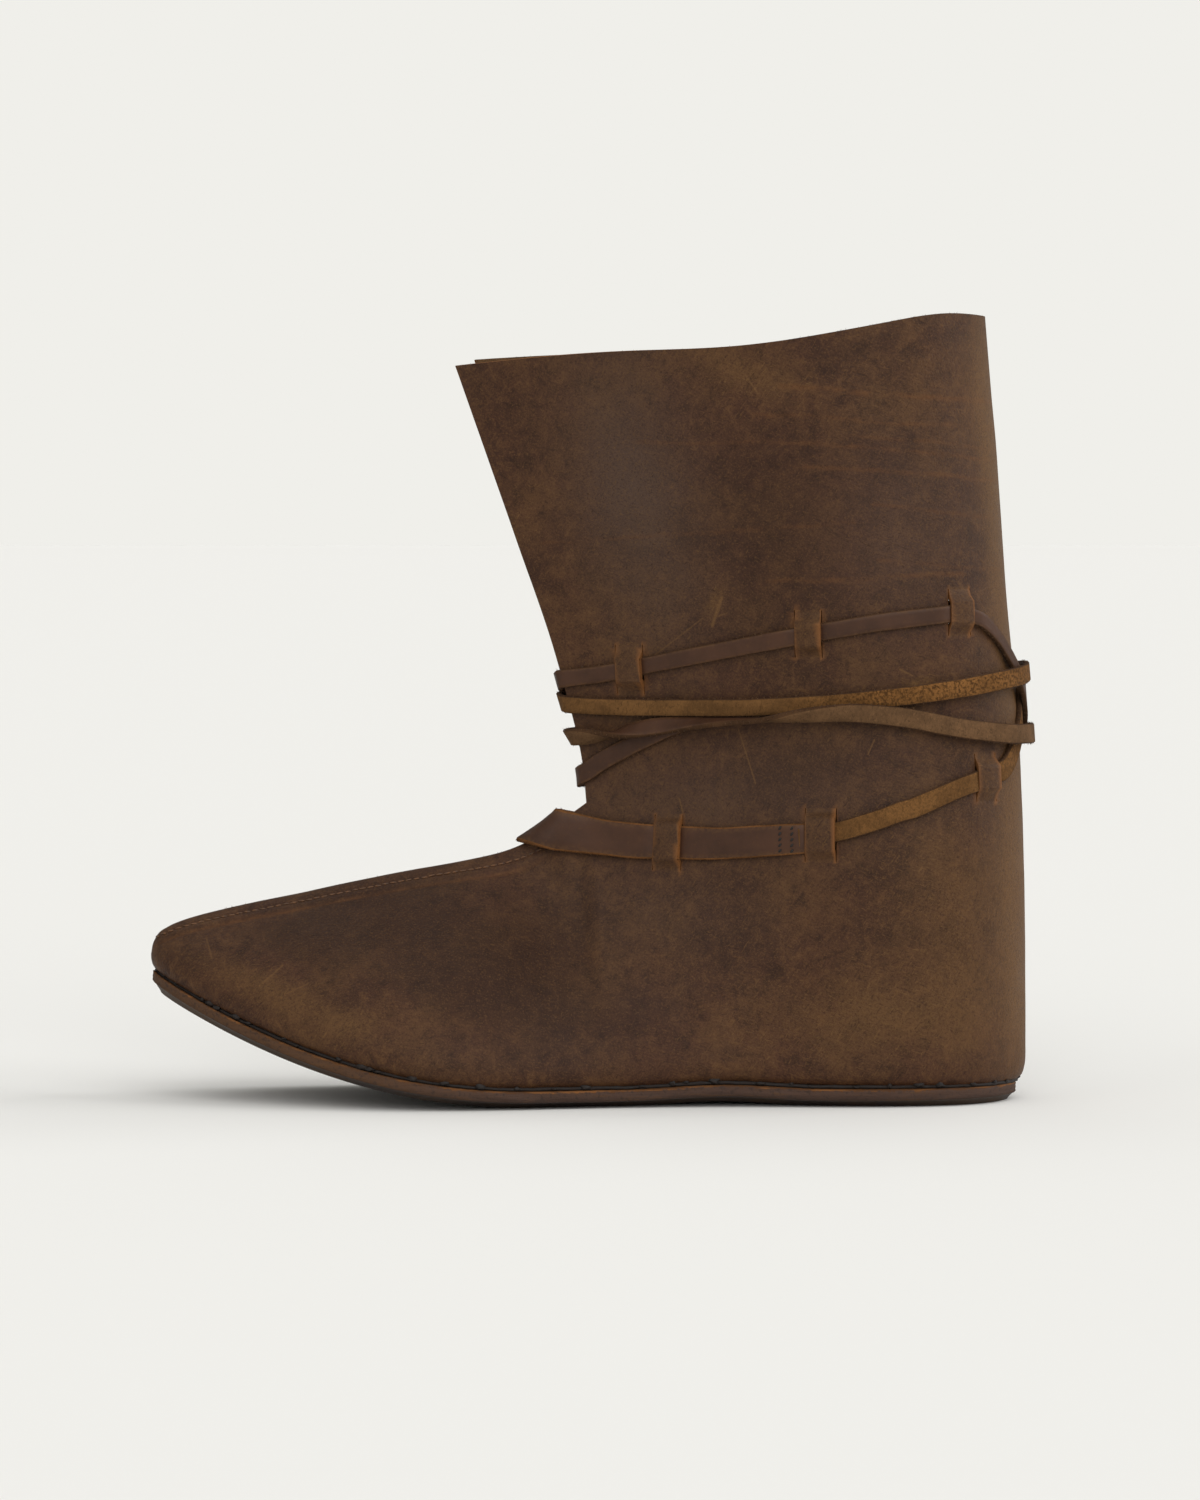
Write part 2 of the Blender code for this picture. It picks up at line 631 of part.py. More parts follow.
def loop_frame(rings, loop, half):
    """Axes at the middle of a belt loop: along the lace, up the leather, and outwards."""
    row = Route(half, loop.x, loop.z, 0.0, 0.0)
    share = rings.share_of(row)
    place = rings.point(share, loop.z, 0)
    along = (rings.point(share + 0.004, loop.z, 0) - rings.point(share - 0.004, loop.z, 0)).normalized()
    up = rings.point(share, loop.z + 3, 0) - rings.point(share, loop.z - 3, 0)
    outwards = along.cross(up).normalized()
    up = outwards.cross(along)
    axes = Matrix((along, up, outwards)).transposed().to_4x4()
    return Matrix.Translation(place) @ axes


def loop_height(loop, along):
    """How far the middle of a loop's band stands off the outer face, along its length."""
    raised = 0.35 + loop.under + LOOP_CLEAR + LOOP_THICK / 2
    root = -WALL / 2
    ramp = ease((loop.slit / 2 - abs(along)) / LOOP_RAMP)
    return root + (raised - root) * ramp


def cut_loops(rings, upper):
    """Two slits and a raised band for each belt loop on both halves of the upper."""
    windows = bmesh.new()
    bands = bmesh.new()
    for half in ("outer", "inner"):
        for loop in LOOPS:
            frame = loop_frame(rings, loop, half)
            size = (loop.band + 2 * SLIT_WIDE, loop.slit, 3 * WALL)
            matrix = frame.copy()
            matrix.translation *= MM
            shape = Matrix.Diagonal([length * MM for length in size] + [1])
            bmesh.ops.create_cube(windows, size=1, matrix=matrix @ shape)
            reach = loop.slit / 2 + LOOP_ROOT
            alongs = np.linspace(-reach, reach, 11)
            add_grid(
                bands,
                (-loop.band / 2, loop.band / 2),
                alongs,
                lambda across, up: frame @ Vector((across, up, loop_height(loop, up))),
            )
    window_cutter = new_object("loop_windows", windows, None)
    band_cutter = new_object("loop_bands", bands, None)
    thicken(band_cutter, LOOP_THICK, 0)
    for cutter, operation in ((window_cutter, "DIFFERENCE"), (band_cutter, "UNION")):
        cutter.hide_render = True
        cutter.display_type = "WIRE"
        cut = upper.modifiers.new(cutter.name, "BOOLEAN")
        cut.operation = operation
        cut.solver = "EXACT"
        cut.object = cutter


def clear_scene():
    for made in list(bpy.data.objects):
        bpy.data.objects.remove(made)


def make_materials():
    for name, colour, roughness in (LEATHER, SOLE_LEATHER, FLESH_LEATHER, LACE_LEATHER):
        material = bpy.data.materials.new(name)
        material.use_nodes = True
        shader = material.node_tree.nodes["Principled BSDF"]
        shader.inputs["Base Color"].default_value = (*colour, 1)
        shader.inputs["Roughness"].default_value = roughness


def main():
    clear_scene()
    make_materials()
    boot = bpy.data.objects.new("boot", None)
    boot.location = (-BOX_MIDDLE_X * MM, -BOX_MIDDLE_Y * MM, -FLOOR_Z * MM)
    bpy.context.scene.collection.objects.link(boot)
    rings = Rings()
    cut_loops(rings, make_upper())
    make_sole()
    make_insole()
    make_band(rings, "instep_strap", STRAP_ROUTE, 1, STRAP_THICK, STRAP_ACROSS, LEATHER)
    make_band(rings, "lace_outer", OUTER_ROUTE, 1, LACE_THICK, (-1, 1), LACE_LEATHER)
    make_band(rings, "lace_inner", INNER_ROUTE, -1, LACE_THICK, (-1, 1), LACE_LEATHER)


main()
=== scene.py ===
"""Looks of a left turn-sewn leather boot: oiled upper with belt loops, sole, strap, laces and stage.

Sizes and tables are in millimetres in the boot's own sizes: toe towards -X, heel towards +X, outer
side towards -Y. in_frame() takes a place to the CAD frame, in metres.
Places round the boot are given by a girth coordinate: 0 at the toe, 1 at the back of the heel,
and 2 at the toe again, so 0 to 1 is the outer half and 1 to 2 the inner half.
"""

import math
import random
from collections import namedtuple
from functools import lru_cache

import bmesh
import bpy
import numpy as np
from bpy.props import FloatProperty, FloatVectorProperty, PointerProperty
from mathutils import Matrix, Vector, noise


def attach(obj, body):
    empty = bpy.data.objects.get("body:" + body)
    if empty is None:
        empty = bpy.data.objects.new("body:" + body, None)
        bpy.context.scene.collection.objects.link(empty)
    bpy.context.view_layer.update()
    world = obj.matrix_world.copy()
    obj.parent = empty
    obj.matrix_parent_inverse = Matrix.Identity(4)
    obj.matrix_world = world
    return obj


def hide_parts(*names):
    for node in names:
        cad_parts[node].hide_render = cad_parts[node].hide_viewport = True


bl_info = {
    "name": "Leather boot",
    "version": (1, 0, 0),
    "blender": (4, 5, 0),
    "location": "View3D > Sidebar > Boot",
    "description": "Makes the visible pieces of a turn-sewn leather boot and its studio",
    "category": "Object",
}

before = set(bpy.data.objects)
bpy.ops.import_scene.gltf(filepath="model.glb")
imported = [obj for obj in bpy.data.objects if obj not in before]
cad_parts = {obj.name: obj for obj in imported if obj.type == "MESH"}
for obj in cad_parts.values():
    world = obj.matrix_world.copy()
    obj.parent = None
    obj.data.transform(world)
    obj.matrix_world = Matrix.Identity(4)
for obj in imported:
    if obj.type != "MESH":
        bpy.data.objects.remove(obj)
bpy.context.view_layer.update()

MM = 0.001
BODY = "root"
BOX_MIDDLE = Vector((1.28, -0.32, -1.5))

# Driving sizes of the boot
FLOOR_Z = -1.5
SOLE_THICK = 5.9
INSOLE_THICK = 2.0
SEAT_GAP = 0.3
SEAM_TALL = 1.2
TOE_X = -145.0
TOE_SPRING = 36.5
SPRING_FROM_X = -15.0
ARCH_RISE = 1.3
ARCH_FROM_X = 10.0
ARCH_TO_X = 78.0
THROAT_SHARE = 0.52
NOTCH_SHARE = 0.485
THROAT_FROM = 0.40
ANKLE_Z = 96.0
BEAK = 2.8
TURN_IN = 2.6
TURN_RISE = 8.0
INSOLE_INSET = 6.6
EDGE_ROUND = 0.25
SECTION_POWER = 1.2

# Strap and laces: width of a lace, and lift of a band's middle in the first, second and third layer
LACE_WIDE = 6.5
LAYER = 1.8
ONE = 1.0
TWO = ONE + LAYER
THREE = TWO + LAYER
STRAP_LIFT = 1.05
# Length once round the ankle, for the spacing of a route's rows
GIRTH = 330.0
# Laces turn sharply round the shaft's front edges, the strap turns round the throat in a half circle
NOSE_FLAT = 0.3
NOSE_FROM_Z = 90.0
NOSE_TO_Z = 99.0

# Belt loops: slits, slope of the raised band, how far from its middle plane leather belongs to a loop,
# and the margins round it that are cut and worn
SLIT_WIDE = 0.3
LOOP_RAMP = 3.0
INNER_LOOP_SHIFT = 3.5
LOOP_REACH = 7.0
CUT_MARGIN = 2.5
WEAR_MARGIN = 4.0

# Seam of the vamp, as distances down from its crest
SEAM_WIDE = 12.0
STITCH_DEPTH = 4.4

# Bulge of the upper in plan: share of the half girth, x, y of the outer half, y of the inner half
Outline = namedtuple("Outline", "share x outer inner")
OUTLINE = [
    Outline(0.000, -145.0, 7.0, 7.0),
    Outline(0.040, -141.5, -2.5, 16.0),
    Outline(0.100, -130.5, -13.5, 26.0),
    Outline(0.190, -107.0, -30.0, 38.0),
    Outline(0.290, -77.0, -44.5, 46.5),
    Outline(0.380, -47.0, -49.0, 47.5),
    Outline(0.460, -17.0, -43.5, 39.5),
    Outline(0.520, 5.0, -38.5, 33.5),
    Outline(0.610, 35.0, -34.5, 30.0),
    Outline(0.710, 68.0, -34.0, 32.0),
    Outline(0.810, 101.0, -34.5, 34.5),
    Outline(0.890, 125.0, -28.5, 28.5),
    Outline(0.955, 139.0, -15.5, 15.5),
    Outline(1.000, 144.4, 0.0, 0.0),
]

# Seam along the top of the vamp: its place, and how steeply each half climbs to it
Crest = namedtuple("Crest", "share x y z climb_deg")
CREST = [
    Crest(0.000, -140.5, 7.0, 54.0, 30.0),
    Crest(0.040, -136.5, 6.8, 56.0, 32.0),
    Crest(0.100, -124.5, 6.2, 59.6, 36.0),
    Crest(0.190, -102.0, 5.0, 64.6, 40.0),
    Crest(0.290, -74.0, 3.6, 70.6, 42.0),
    Crest(0.380, -47.0, 2.2, 75.8, 45.0),
    Crest(0.440, -27.5, 1.2, 80.0, 52.0),
    Crest(0.485, -14.0, 0.4, 86.5, 62.0),
    Crest(0.520, -0.5, 0.0, 96.0, 80.0),
]

# Level sections of the shaft: front edge of each half, back, and the half widths
Level = namedtuple("Level", "z outer_front inner_front back outer_wide inner_wide")
LEVELS = [
    Level(96.0, -0.5, -0.5, 143.0, 36.0, 36.0),
    Level(112.0, -2.2, -2.0, 142.2, 35.0, 35.0),
    Level(130.0, -6.5, -6.0, 141.0, 34.5, 34.5),
    Level(150.0, -12.2, -11.2, 139.2, 35.5, 35.5),
    Level(175.0, -20.8, -18.6, 137.0, 36.8, 36.8),
    Level(207.0, -32.0, -27.6, 134.6, 38.0, 38.0),
    Level(258.0, -50.0, -42.0, 130.4, 39.0, 39.0),
]

# How far the sole's edge lies inside the bulge outline
Inset = namedtuple("Inset", "share inset")
INSETS = [Inset(0.0, 0.9), Inset(0.12, 0.5), Inset(0.5, 0.4), Inset(0.86, 0.6), Inset(1.0, 3.2)]

# Height of the collar along the shaft
Collar = namedtuple("Collar", "x outer_z inner_z")
COLLAR = [
    Collar(-46.0, 239.6, 241.2),
    Collar(-10.0, 242.8, 243.6),
    Collar(17.0, 244.2, 244.6),
    Collar(50.0, 245.5, 245.2),
    Collar(76.0, 249.0, 248.4),
    Collar(102.0, 253.8, 253.4),
    Collar(119.0, 256.3, 256.1),
    Collar(131.0, 256.0, 256.0),
]

# Belt loops on each half: middle of the loop, width of its band, length of its slits, its rise, and
# half the width of the lace or strap that it holds
Loop = namedtuple("Loop", "name x z band slit rise hold")
LOOPS = [
    Loop("upper_front", 13.8, 140.4, 9.4, 16.4, 2.5, 3.6),
    Loop("upper_middle", 71.4, 152.3, 8.6, 15.6, 2.5, 3.6),
    Loop("upper_back", 120.7, 159.4, 8.2, 15.2, 2.5, 3.6),
    Loop("lower_front", 26.3, 83.8, 9.6, 18.4, 2.6, 5.6),
    Loop("lower_middle", 75.5, 87.2, 10.0, 17.4, 2.6, 5.0),
    Loop("lower_back", 129.6, 105.6, 8.6, 15.6, 2.5, 3.6),
]

# Routes of the strap and the laces: which half, x on it, height, lift of the band's middle, width,
# and turn about its own length, 0 with the grain side out and 180 with the flesh side out
Route = namedtuple("Route", "half x z lift wide turn", defaults=(LACE_WIDE, 0))
STRAP_ROUTE = [
    Route("inner", 74.0, 86.4, STRAP_LIFT, 10.0),
    Route("inner", 43.0, 83.8, STRAP_LIFT, 10.5),
    Route("inner", 17.0, 84.0, STRAP_LIFT + 0.2, 11.5),
    Route("inner", 4.0, 85.2, STRAP_LIFT + 0.7, 12.0),
    Route("inner", -8.0, 87.0, STRAP_LIFT + 1.2, 13.0),
    Route("front", 0.0, 87.9, STRAP_LIFT + 1.4, 15.0),
    Route("outer", -8.0, 87.0, STRAP_LIFT + 1.0, 13.0),
    Route("outer", 4.0, 85.2, STRAP_LIFT + 0.7, 12.0),
    Route("outer", 17.0, 84.0, STRAP_LIFT + 0.2, 11.5),
    Route("outer", 43.0, 83.8, STRAP_LIFT, 10.5),
    Route("outer", 71.0, 86.2, STRAP_LIFT, 10.0),
]
OUTER_ROUTE = [
    Route("outer", 68.4, 86.0, ONE, 6.5, 180),
    Route("outer", 82.0, 88.4, ONE, 6.5, 180),
    Route("outer", 105.0, 96.0, ONE, 6.5, 180),
    Route("outer", 121.0, 103.0, ONE, 6.5, 180),
    Route("outer", 129.6, 105.6, ONE, 6.5, 180),
    Route("outer", 135.5, 108.0, ONE, 6.5, 180),
    Route("back", 0.0, 128.5, ONE, 6.5, 180),
    Route("inner", 133.5, 153.0, ONE, 6.5, 180),
    Route("inner", 127.5, 158.4, ONE, 6.5, 180),
    Route("inner", 120.7, 159.4, ONE, 6.5, 180),
    Route("inner", 95.0, 156.4, ONE, 6.5, 180),
    Route("inner", 71.4, 152.3, ONE, 6.5, 180),
    Route("inner", 62.0, 150.4, ONE, 6.5, 180),
    Route("inner", 37.0, 145.2, ONE, 6.5, 180),
    Route("inner", 13.8, 140.4, ONE, 6.5, 180),
    Route("inner", 6.0, 138.0, TWO, 6.2, 180),
    Route("inner", 3.0, 135.4, THREE, 6.0, 180),
    Route("inner", -4.0, 132.2, THREE + 0.6, 5.8, 180),
    Route("front", 0.0, 128.6, ONE, 5.6, 180),
    Route("outer", 6.0, 127.9, ONE, 5.6, 180),
    Route("outer", 24.0, 128.0, TWO, 5.6, 180),
    Route("outer", 52.0, 128.3, TWO, 5.6, 180),
    Route("outer", 76.0, 129.7, TWO, 5.7, 180),
    Route("outer", 102.0, 132.3, TWO, 6.0, 180),
    Route("outer", 122.0, 135.1, TWO, 6.2, 180),
    Route("outer", 132.0, 137.4, THREE, 6.2, 180),
    Route("back", 0.0, 139.8, THREE, 6.2, 180),
    Route("inner", 132.0, 139.4, THREE, 6.2, 180),
    Route("inner", 118.0, 136.0, TWO, 6.2, 180),
    Route("inner", 90.0, 131.0, THREE, 6.2, 180),
    Route("inner", 52.0, 120.4, THREE, 6.2, 0),
    Route("inner", 40.0, 117.0, THREE, 6.2, 0),
    Route("inner", 20.0, 110.0, TWO, 6.2, 0),
    Route("front", 0.0, 103.6, ONE, 6.4, 0),
    Route("outer", 5.0, 110.2, ONE, 6.4, 0),
    Route("outer", 17.0, 116.8, ONE, 6.2),
    Route("outer", 28.0, 121.8, ONE, 6.0),
    Route("outer", 38.0, 125.2, ONE, 5.6),
]
INNER_ROUTE = [
    Route("inner", 68.4, 86.0, ONE),
    Route("inner", 82.0, 88.4, ONE),
    Route("inner", 105.0, 96.0, ONE),
    Route("inner", 121.0, 103.0, ONE),
    Route("inner", 129.6, 105.6, ONE),
    Route("inner", 135.5, 108.0, ONE),
    Route("inner", 140.6, 121.0, TWO),
    Route("back", 0.0, 128.5, TWO),
    Route("outer", 139.6, 136.0, TWO, 4.4),
    Route("outer", 133.5, 150.4, ONE, 3.8),
    Route("outer", 127.5, 157.2, ONE, 4.8),
    Route("outer", 120.7, 159.4, ONE, 5.8),
    Route("outer", 95.0, 156.4, ONE, 5.9),
    Route("outer", 71.4, 152.3, ONE, 5.9),
    Route("outer", 37.0, 145.4, ONE, 5.8),
    Route("outer", 13.8, 140.6, ONE, 5.8),
    Route("outer", 4.0, 138.6, ONE, 5.9),
    Route("front", 0.0, 136.8, ONE, 6.0),
    Route("inner", 5.0, 128.5, ONE, 6.2),
    Route("inner", 14.0, 126.6, ONE + 0.4, 6.2),
    Route("inner", 32.0, 126.2, TWO),
    Route("inner", 42.0, 125.8, ONE),
    Route("inner", 66.0, 124.6, ONE),
    Route("inner", 86.0, 122.8, ONE, 3.2, 90),
    Route("inner", 112.0, 120.6, ONE, 6.5, 180),
    Route("inner", 126.0, 119.4, TWO, 6.5, 180),
    Route("inner", 134.0, 118.8, THREE, 6.5, 180),
    Route("back", 0.0, 119.2, THREE, 6.4, 180),
    Route("outer", 134.0, 119.6, THREE, 6.4, 180),
    Route("outer", 120.0, 121.7, TWO, 6.4, 180),
    Route("outer", 102.0, 125.6, TWO + 0.4, 6.4, 180),
    Route("outer", 86.0, 127.2, THREE, 6.0, 186),
    Route("outer", 72.0, 126.3, THREE, 5.4, 215),
    Route("outer", 58.0, 124.4, TWO + 0.4, 4.8, 272),
    Route("outer", 45.0, 123.8, TWO, 4.8, 284),
    Route("outer", 34.0, 123.0, TWO, 5.4, 310),
    Route("outer", 24.0, 122.0, TWO, 6.0, 338),
    Route("outer", 13.0, 120.0, TWO, 6.0, 300),
    Route("outer", 5.0, 118.6, TWO - 0.6, 6.2, 232),
    Route("front", 0.0, 117.8, ONE + 0.3, 6.2, 195),
    Route("inner", 6.0, 118.6, ONE, 6.2, 180),
    Route("inner", 20.0, 121.0, ONE, 6.2, 180),
]

# Soft folds of the upper: both ends as x and z on the outer half, half width, and depth inwards
Fold = namedtuple("Fold", "x1 z1 x2 z2 half_wide depth")
FOLDS = [
    Fold(-78.0, 50.0, -38.0, 35.0, 9.0, 0.9),
    Fold(-96.0, 52.0, -60.0, 40.0, 7.0, -0.4),
    Fold(21.5, 144.0, 38.0, 157.0, 1.9, 0.5),
    Fold(8.0, 176.0, 26.0, 236.0, 16.0, -0.5),
    Fold(52.0, 176.0, 70.0, 232.0, 18.0, 0.6),
    Fold(-18.0, 64.0, 8.0, 52.0, 12.0, 0.6),
    Fold(30.0, 28.0, 60.0, 20.0, 10.0, 0.5),
]

# Thin scratches of the outer half: both ends, half width and strength
Mark = namedtuple("Mark", "x1 z1 x2 z2 half_wide strength")
MARKS = [
    Mark(43.5, 164.0, 40.5, 155.0, 0.9, 0.6),
    Mark(45.0, 159.0, 41.0, 157.5, 0.5, 0.4),
    Mark(21.5, 144.8, 37.5, 157.4, 0.45, 0.35),
    Mark(49.0, 121.5, 54.6, 103.6, 0.40, 0.45),
    Mark(92.8, 118.2, 90.8, 113.5, 0.40, 0.5),
    Mark(101.0, 141.0, 105.0, 139.0, 0.5, 0.6),
    Mark(105.5, 136.5, 109.0, 133.2, 1.3, 0.7),
    Mark(-107.0, 37.5, -99.7, 43.9, 0.5, 0.5),
    Mark(-98.6, 35.0, -91.0, 38.6, 0.4, 0.4),
    Mark(-125.6, 51.6, -123.4, 45.7, 0.5, 0.4),
    Mark(30.0, 98.0, 31.0, 94.0, 0.5, 0.5),
    Mark(51.0, 236.0, 55.0, 230.0, 0.5, 0.45),
]

# Reddish lines where the leather of the outer half is pulled, as the scratches
PULLS = [
    Mark(62.0, 231.9, 134.0, 228.0, 1.62, 0.44),
    Mark(54.0, 222.9, 134.0, 219.4, 1.35, 0.32),
    Mark(58.0, 215.0, 134.5, 208.6, 1.35, 0.32),
    Mark(86.0, 216.4, 134.0, 212.6, 1.08, 0.24),
    Mark(68.0, 206.5, 134.5, 202.0, 1.35, 0.32),
    Mark(16.0, 214.6, 56.0, 215.2, 1.17, 0.2),
    Mark(-15.0, 181.3, 86.0, 188.5, 1.26, 0.22),
    Mark(92.0, 194.0, 136.0, 190.0, 1.17, 0.24),
    Mark(58.0, 169.0, 122.0, 172.2, 1.53, 0.32),
    Mark(94.0, 176.6, 138.0, 173.0, 1.17, 0.24),
]

# Golden rubs, darker patches, and a painted highlight along the back edge of the outer half: place, half
# sizes, lean, and strength
Tone = namedtuple("Tone", "x z half_long half_wide lean_deg strength")
TONES = [
    Tone(52.0, 236.0, 22.0, 9.0, -20.0, 0.55),
    Tone(42.0, 164.0, 9.0, 3.0, 65.0, 0.75),
    Tone(-24.0, 186.0, 10.0, 6.0, 10.0, 0.40),
    Tone(108.0, 136.0, 6.0, 3.0, 10.0, 0.85),
    Tone(-120.0, 44.0, 22.0, 8.0, -14.0, 0.35),
    Tone(-96.0, 33.0, 26.0, 7.0, -20.0, 0.5),
    Tone(-70.0, 28.0, 18.0, 7.0, 20.0, 0.45),
    Tone(-62.0, 48.0, 14.0, 5.0, 10.0, 0.35),
    Tone(92.0, 28.0, 50.0, 14.0, 0.0, 0.55),
    Tone(118.0, 64.0, 24.0, 34.0, 10.0, 0.5),
    Tone(126.0, 230.0, 10.0, 26.0, 5.0, 0.30),
    Tone(-44.0, 46.0, 40.0, 17.0, -20.0, -1.2),
    Tone(-80.0, 58.0, 40.0, 8.0, 15.0, -0.6),
    Tone(8.0, 26.0, 34.0, 14.0, 0.0, -0.4),
    # These two strips along the back edge are a painted highlight, where light from the right grazes the
    # back
    Tone(135.0, 185.0, 90.0, 6.0, 94.5, 0.9),
    Tone(141.5, 60.0, 60.0, 7.0, 92.0, 0.8),
    Tone(-94.0, 50.0, 16.0, 6.0, -20.0, -0.45),
    Tone(62.0, 190.0, 26.0, 30.0, 10.0, -0.55),
    Tone(70.0, 108.0, 46.0, 9.0, 8.0, -0.45),
    Tone(-8.0, 62.0, 24.0, 14.0, 0.0, -0.35),
    Tone(52.0, 150.0, 16.0, 8.0, 20.0, -0.30),
]

# Painted sheen on the outer half, greyish where the lights glint off the front and back of the shaft and
# below the laces and the strap: as the tones
SHEENS = [
    Tone(16.0, 196.0, 20.0, 46.0, 12.0, 0.9),
    Tone(42.0, 98.0, 60.0, 18.0, 4.0, 0.45),
    Tone(24.0, 62.0, 36.0, 14.0, 0.0, 0.35),
    Tone(104.0, 186.0, 24.0, 34.0, 0.0, 0.5),
]


def in_frame(place):
    return (place - BOX_MIDDLE) * MM


class Curve:
    """A smooth curve through values: natural at its ends, or closed where a period is given."""

    def __init__(self, knots, values, period=None):
        self.period = period
        if period:
            knots = list(knots) + [knots[0] + period]
            values = list(values) + [values[0]]
        self.knots = np.asarray(knots, float)
        self.values = np.asarray(values, float)
        self.step = np.diff(self.knots)
        self.bend = self.bends(np.diff(self.values) / self.step)

    def bends(self, rise):
        count = len(self.knots)
        step = self.step
        system = np.zeros((count, count))
        known = np.zeros(count)
        for k in range(1, count - 1):
            system[k, k - 1 : k + 2] = step[k - 1], 2 * (step[k - 1] + step[k]), step[k]
            known[k] = 6 * (rise[k] - rise[k - 1])
        system[0, 0] = system[-1, -1] = 1
        if self.period:
            system[0, -1] = -1
            system[-1, 0:2] = 2 * step[0], step[0]
            system[-1, -2:] = step[-1], 2 * step[-1]
            known[-1] = 6 * (rise[0] - rise[-1])
        return np.linalg.solve(system, known)

    def __call__(self, at):
        if self.period:
            at = (at - self.knots[0]) % self.period + self.knots[0]
        k = min(max(int(np.searchsorted(self.knots, at)) - 1, 0), len(self.step) - 1)
        a = (self.knots[k + 1] - at) / self.step[k]
        b = 1 - a
        bow = (a**3 - a) * self.bend[k] + (b**3 - b) * self.bend[k + 1]
        value = a * self.values[k] + b * self.values[k + 1] + bow * self.step[k] ** 2 / 6
        return float(value)


def curves(table):
    """A curve for each column of a table, over its first column."""
    names = table[0]._fields
    knots = [row[0] for row in table]
    return {name: Curve(knots, [getattr(row, name) for row in table]) for name in names[1:]}


INNER_ROWS = OUTLINE[-2:0:-1]
GIRTHS = [row.share for row in OUTLINE] + [2 - row.share for row in INNER_ROWS]
OUTLINE_X = Curve(GIRTHS, [row.x for row in OUTLINE + INNER_ROWS], 2.0)
OUTLINE_Y = Curve(GIRTHS, [row.outer for row in OUTLINE] + [row.inner for row in INNER_ROWS], 2.0)
CREST_CURVES = curves(CREST)
LEVEL_CURVES = curves(LEVELS)
COLLAR_CURVES = curves(COLLAR)
INSET_CURVES = curves(INSETS)


def ease(t):
    t = min(1.0, max(0.0, t))
    return t * t * (3 - 2 * t)


@lru_cache(maxsize=None)
def outline(girth):
    """Bulge of the upper in plan at a girth coordinate."""
    return Vector((OUTLINE_X(girth), OUTLINE_Y(girth)))


def inset_outline(girth, inset):
    """The bulge outline moved in by the inset, square to itself."""
    small = 0.002
    along = (outline(girth + small) - outline(girth - small)).normalized()
    return outline(girth) + Vector((-along.y, along.x)) * inset


def half_share(girth):
    return girth if girth <= 1 else 2 - girth


def side_of(girth):
    """-1 on the outer half and +1 on the inner half."""
    return -1 if girth <= 1 else 1


def half_of(girth):
    return "outer" if girth <= 1 else "inner"


def sole_rise(x):
    """Height of the sole's underside: the toe's spring, the flats and the low arch between them."""
    if x < SPRING_FROM_X:
        return FLOOR_Z + TOE_SPRING * ((SPRING_FROM_X - x) / (SPRING_FROM_X - TOE_X)) ** 2
    if ARCH_FROM_X < x < ARCH_TO_X:
        turn = 2 * math.pi * (x - ARCH_FROM_X) / (ARCH_TO_X - ARCH_FROM_X)
        return FLOOR_Z + ARCH_RISE * (1 - math.cos(turn)) / 2
    return FLOOR_Z


def feather_z(x):
    """Height of the upper's lower edge, above the waxed thread on the sole's top."""
    return sole_rise(x) + SOLE_THICK + SEAM_TALL


def shaft_point(girth, z):
    """Outer face of the shaft: a drop-shaped section, its point at the front edges."""
    swing = math.sin(math.pi / 2 * (half_share(girth) - THROAT_SHARE) / (1 - THROAT_SHARE))
    back_share = min(1.0, (swing + swing * swing) / 2)
    front = LEVEL_CURVES[half_of(girth) + "_front"](z)
    x = front + (LEVEL_CURVES["back"](z) - front) * back_share
    widest_at = SECTION_POWER / (SECTION_POWER + 0.5)
    widest = widest_at**SECTION_POWER * math.sqrt(1 - widest_at)
    swell = back_share**SECTION_POWER / widest
    y = math.sqrt(1 - back_share) * (BEAK + LEVEL_CURVES[half_of(girth) + "_wide"](z) * swell)
    return Vector((x, side_of(girth) * y, z))


@lru_cache(maxsize=None)
def collar_z(girth):
    return COLLAR_CURVES[half_of(girth) + "_z"](shaft_point(girth, COLLAR[0].outer_z).x)


@lru_cache(maxsize=None)
def foot_top(girth):
    """Upper end of a foot column and its direction there: the vamp's crest, or the ankle."""
    share = half_share(girth)
    if share > THROAT_SHARE - 1e-6:
        place = shaft_point(girth, ANKLE_Z)
        return place, (shaft_point(girth, ANKLE_Z + 1) - place).normalized()
    place = Vector([CREST_CURVES[axis](share) for axis in "xyz"])
    climb = math.radians(CREST_CURVES["climb_deg"](share))
    inwards = (place.xy - outline(girth)).normalized() * math.cos(climb)
    way = Vector((inwards.x, inwards.y, math.sin(climb)))
    throat = 2 - THROAT_SHARE if side_of(girth) > 0 else THROAT_SHARE
    throat_way = (shaft_point(throat, ANKLE_Z + 1) - shaft_point(throat, ANKLE_Z)).normalized()
    return place, way.lerp(throat_way, ease((share - THROAT_FROM) / (THROAT_SHARE - THROAT_FROM)))


def flap_shift(girth, rise):
    """How far the edges of the two halves stand apart above the notch."""
    share = half_share(girth)
    if share > THROAT_SHARE - 1e-6:
        return 0.0
    opened = ease((share - NOTCH_SHARE) / (THROAT_SHARE - NOTCH_SHARE) * 1.6)
    return side_of(girth) * BEAK * opened * ease((rise - 0.6) / 0.4)


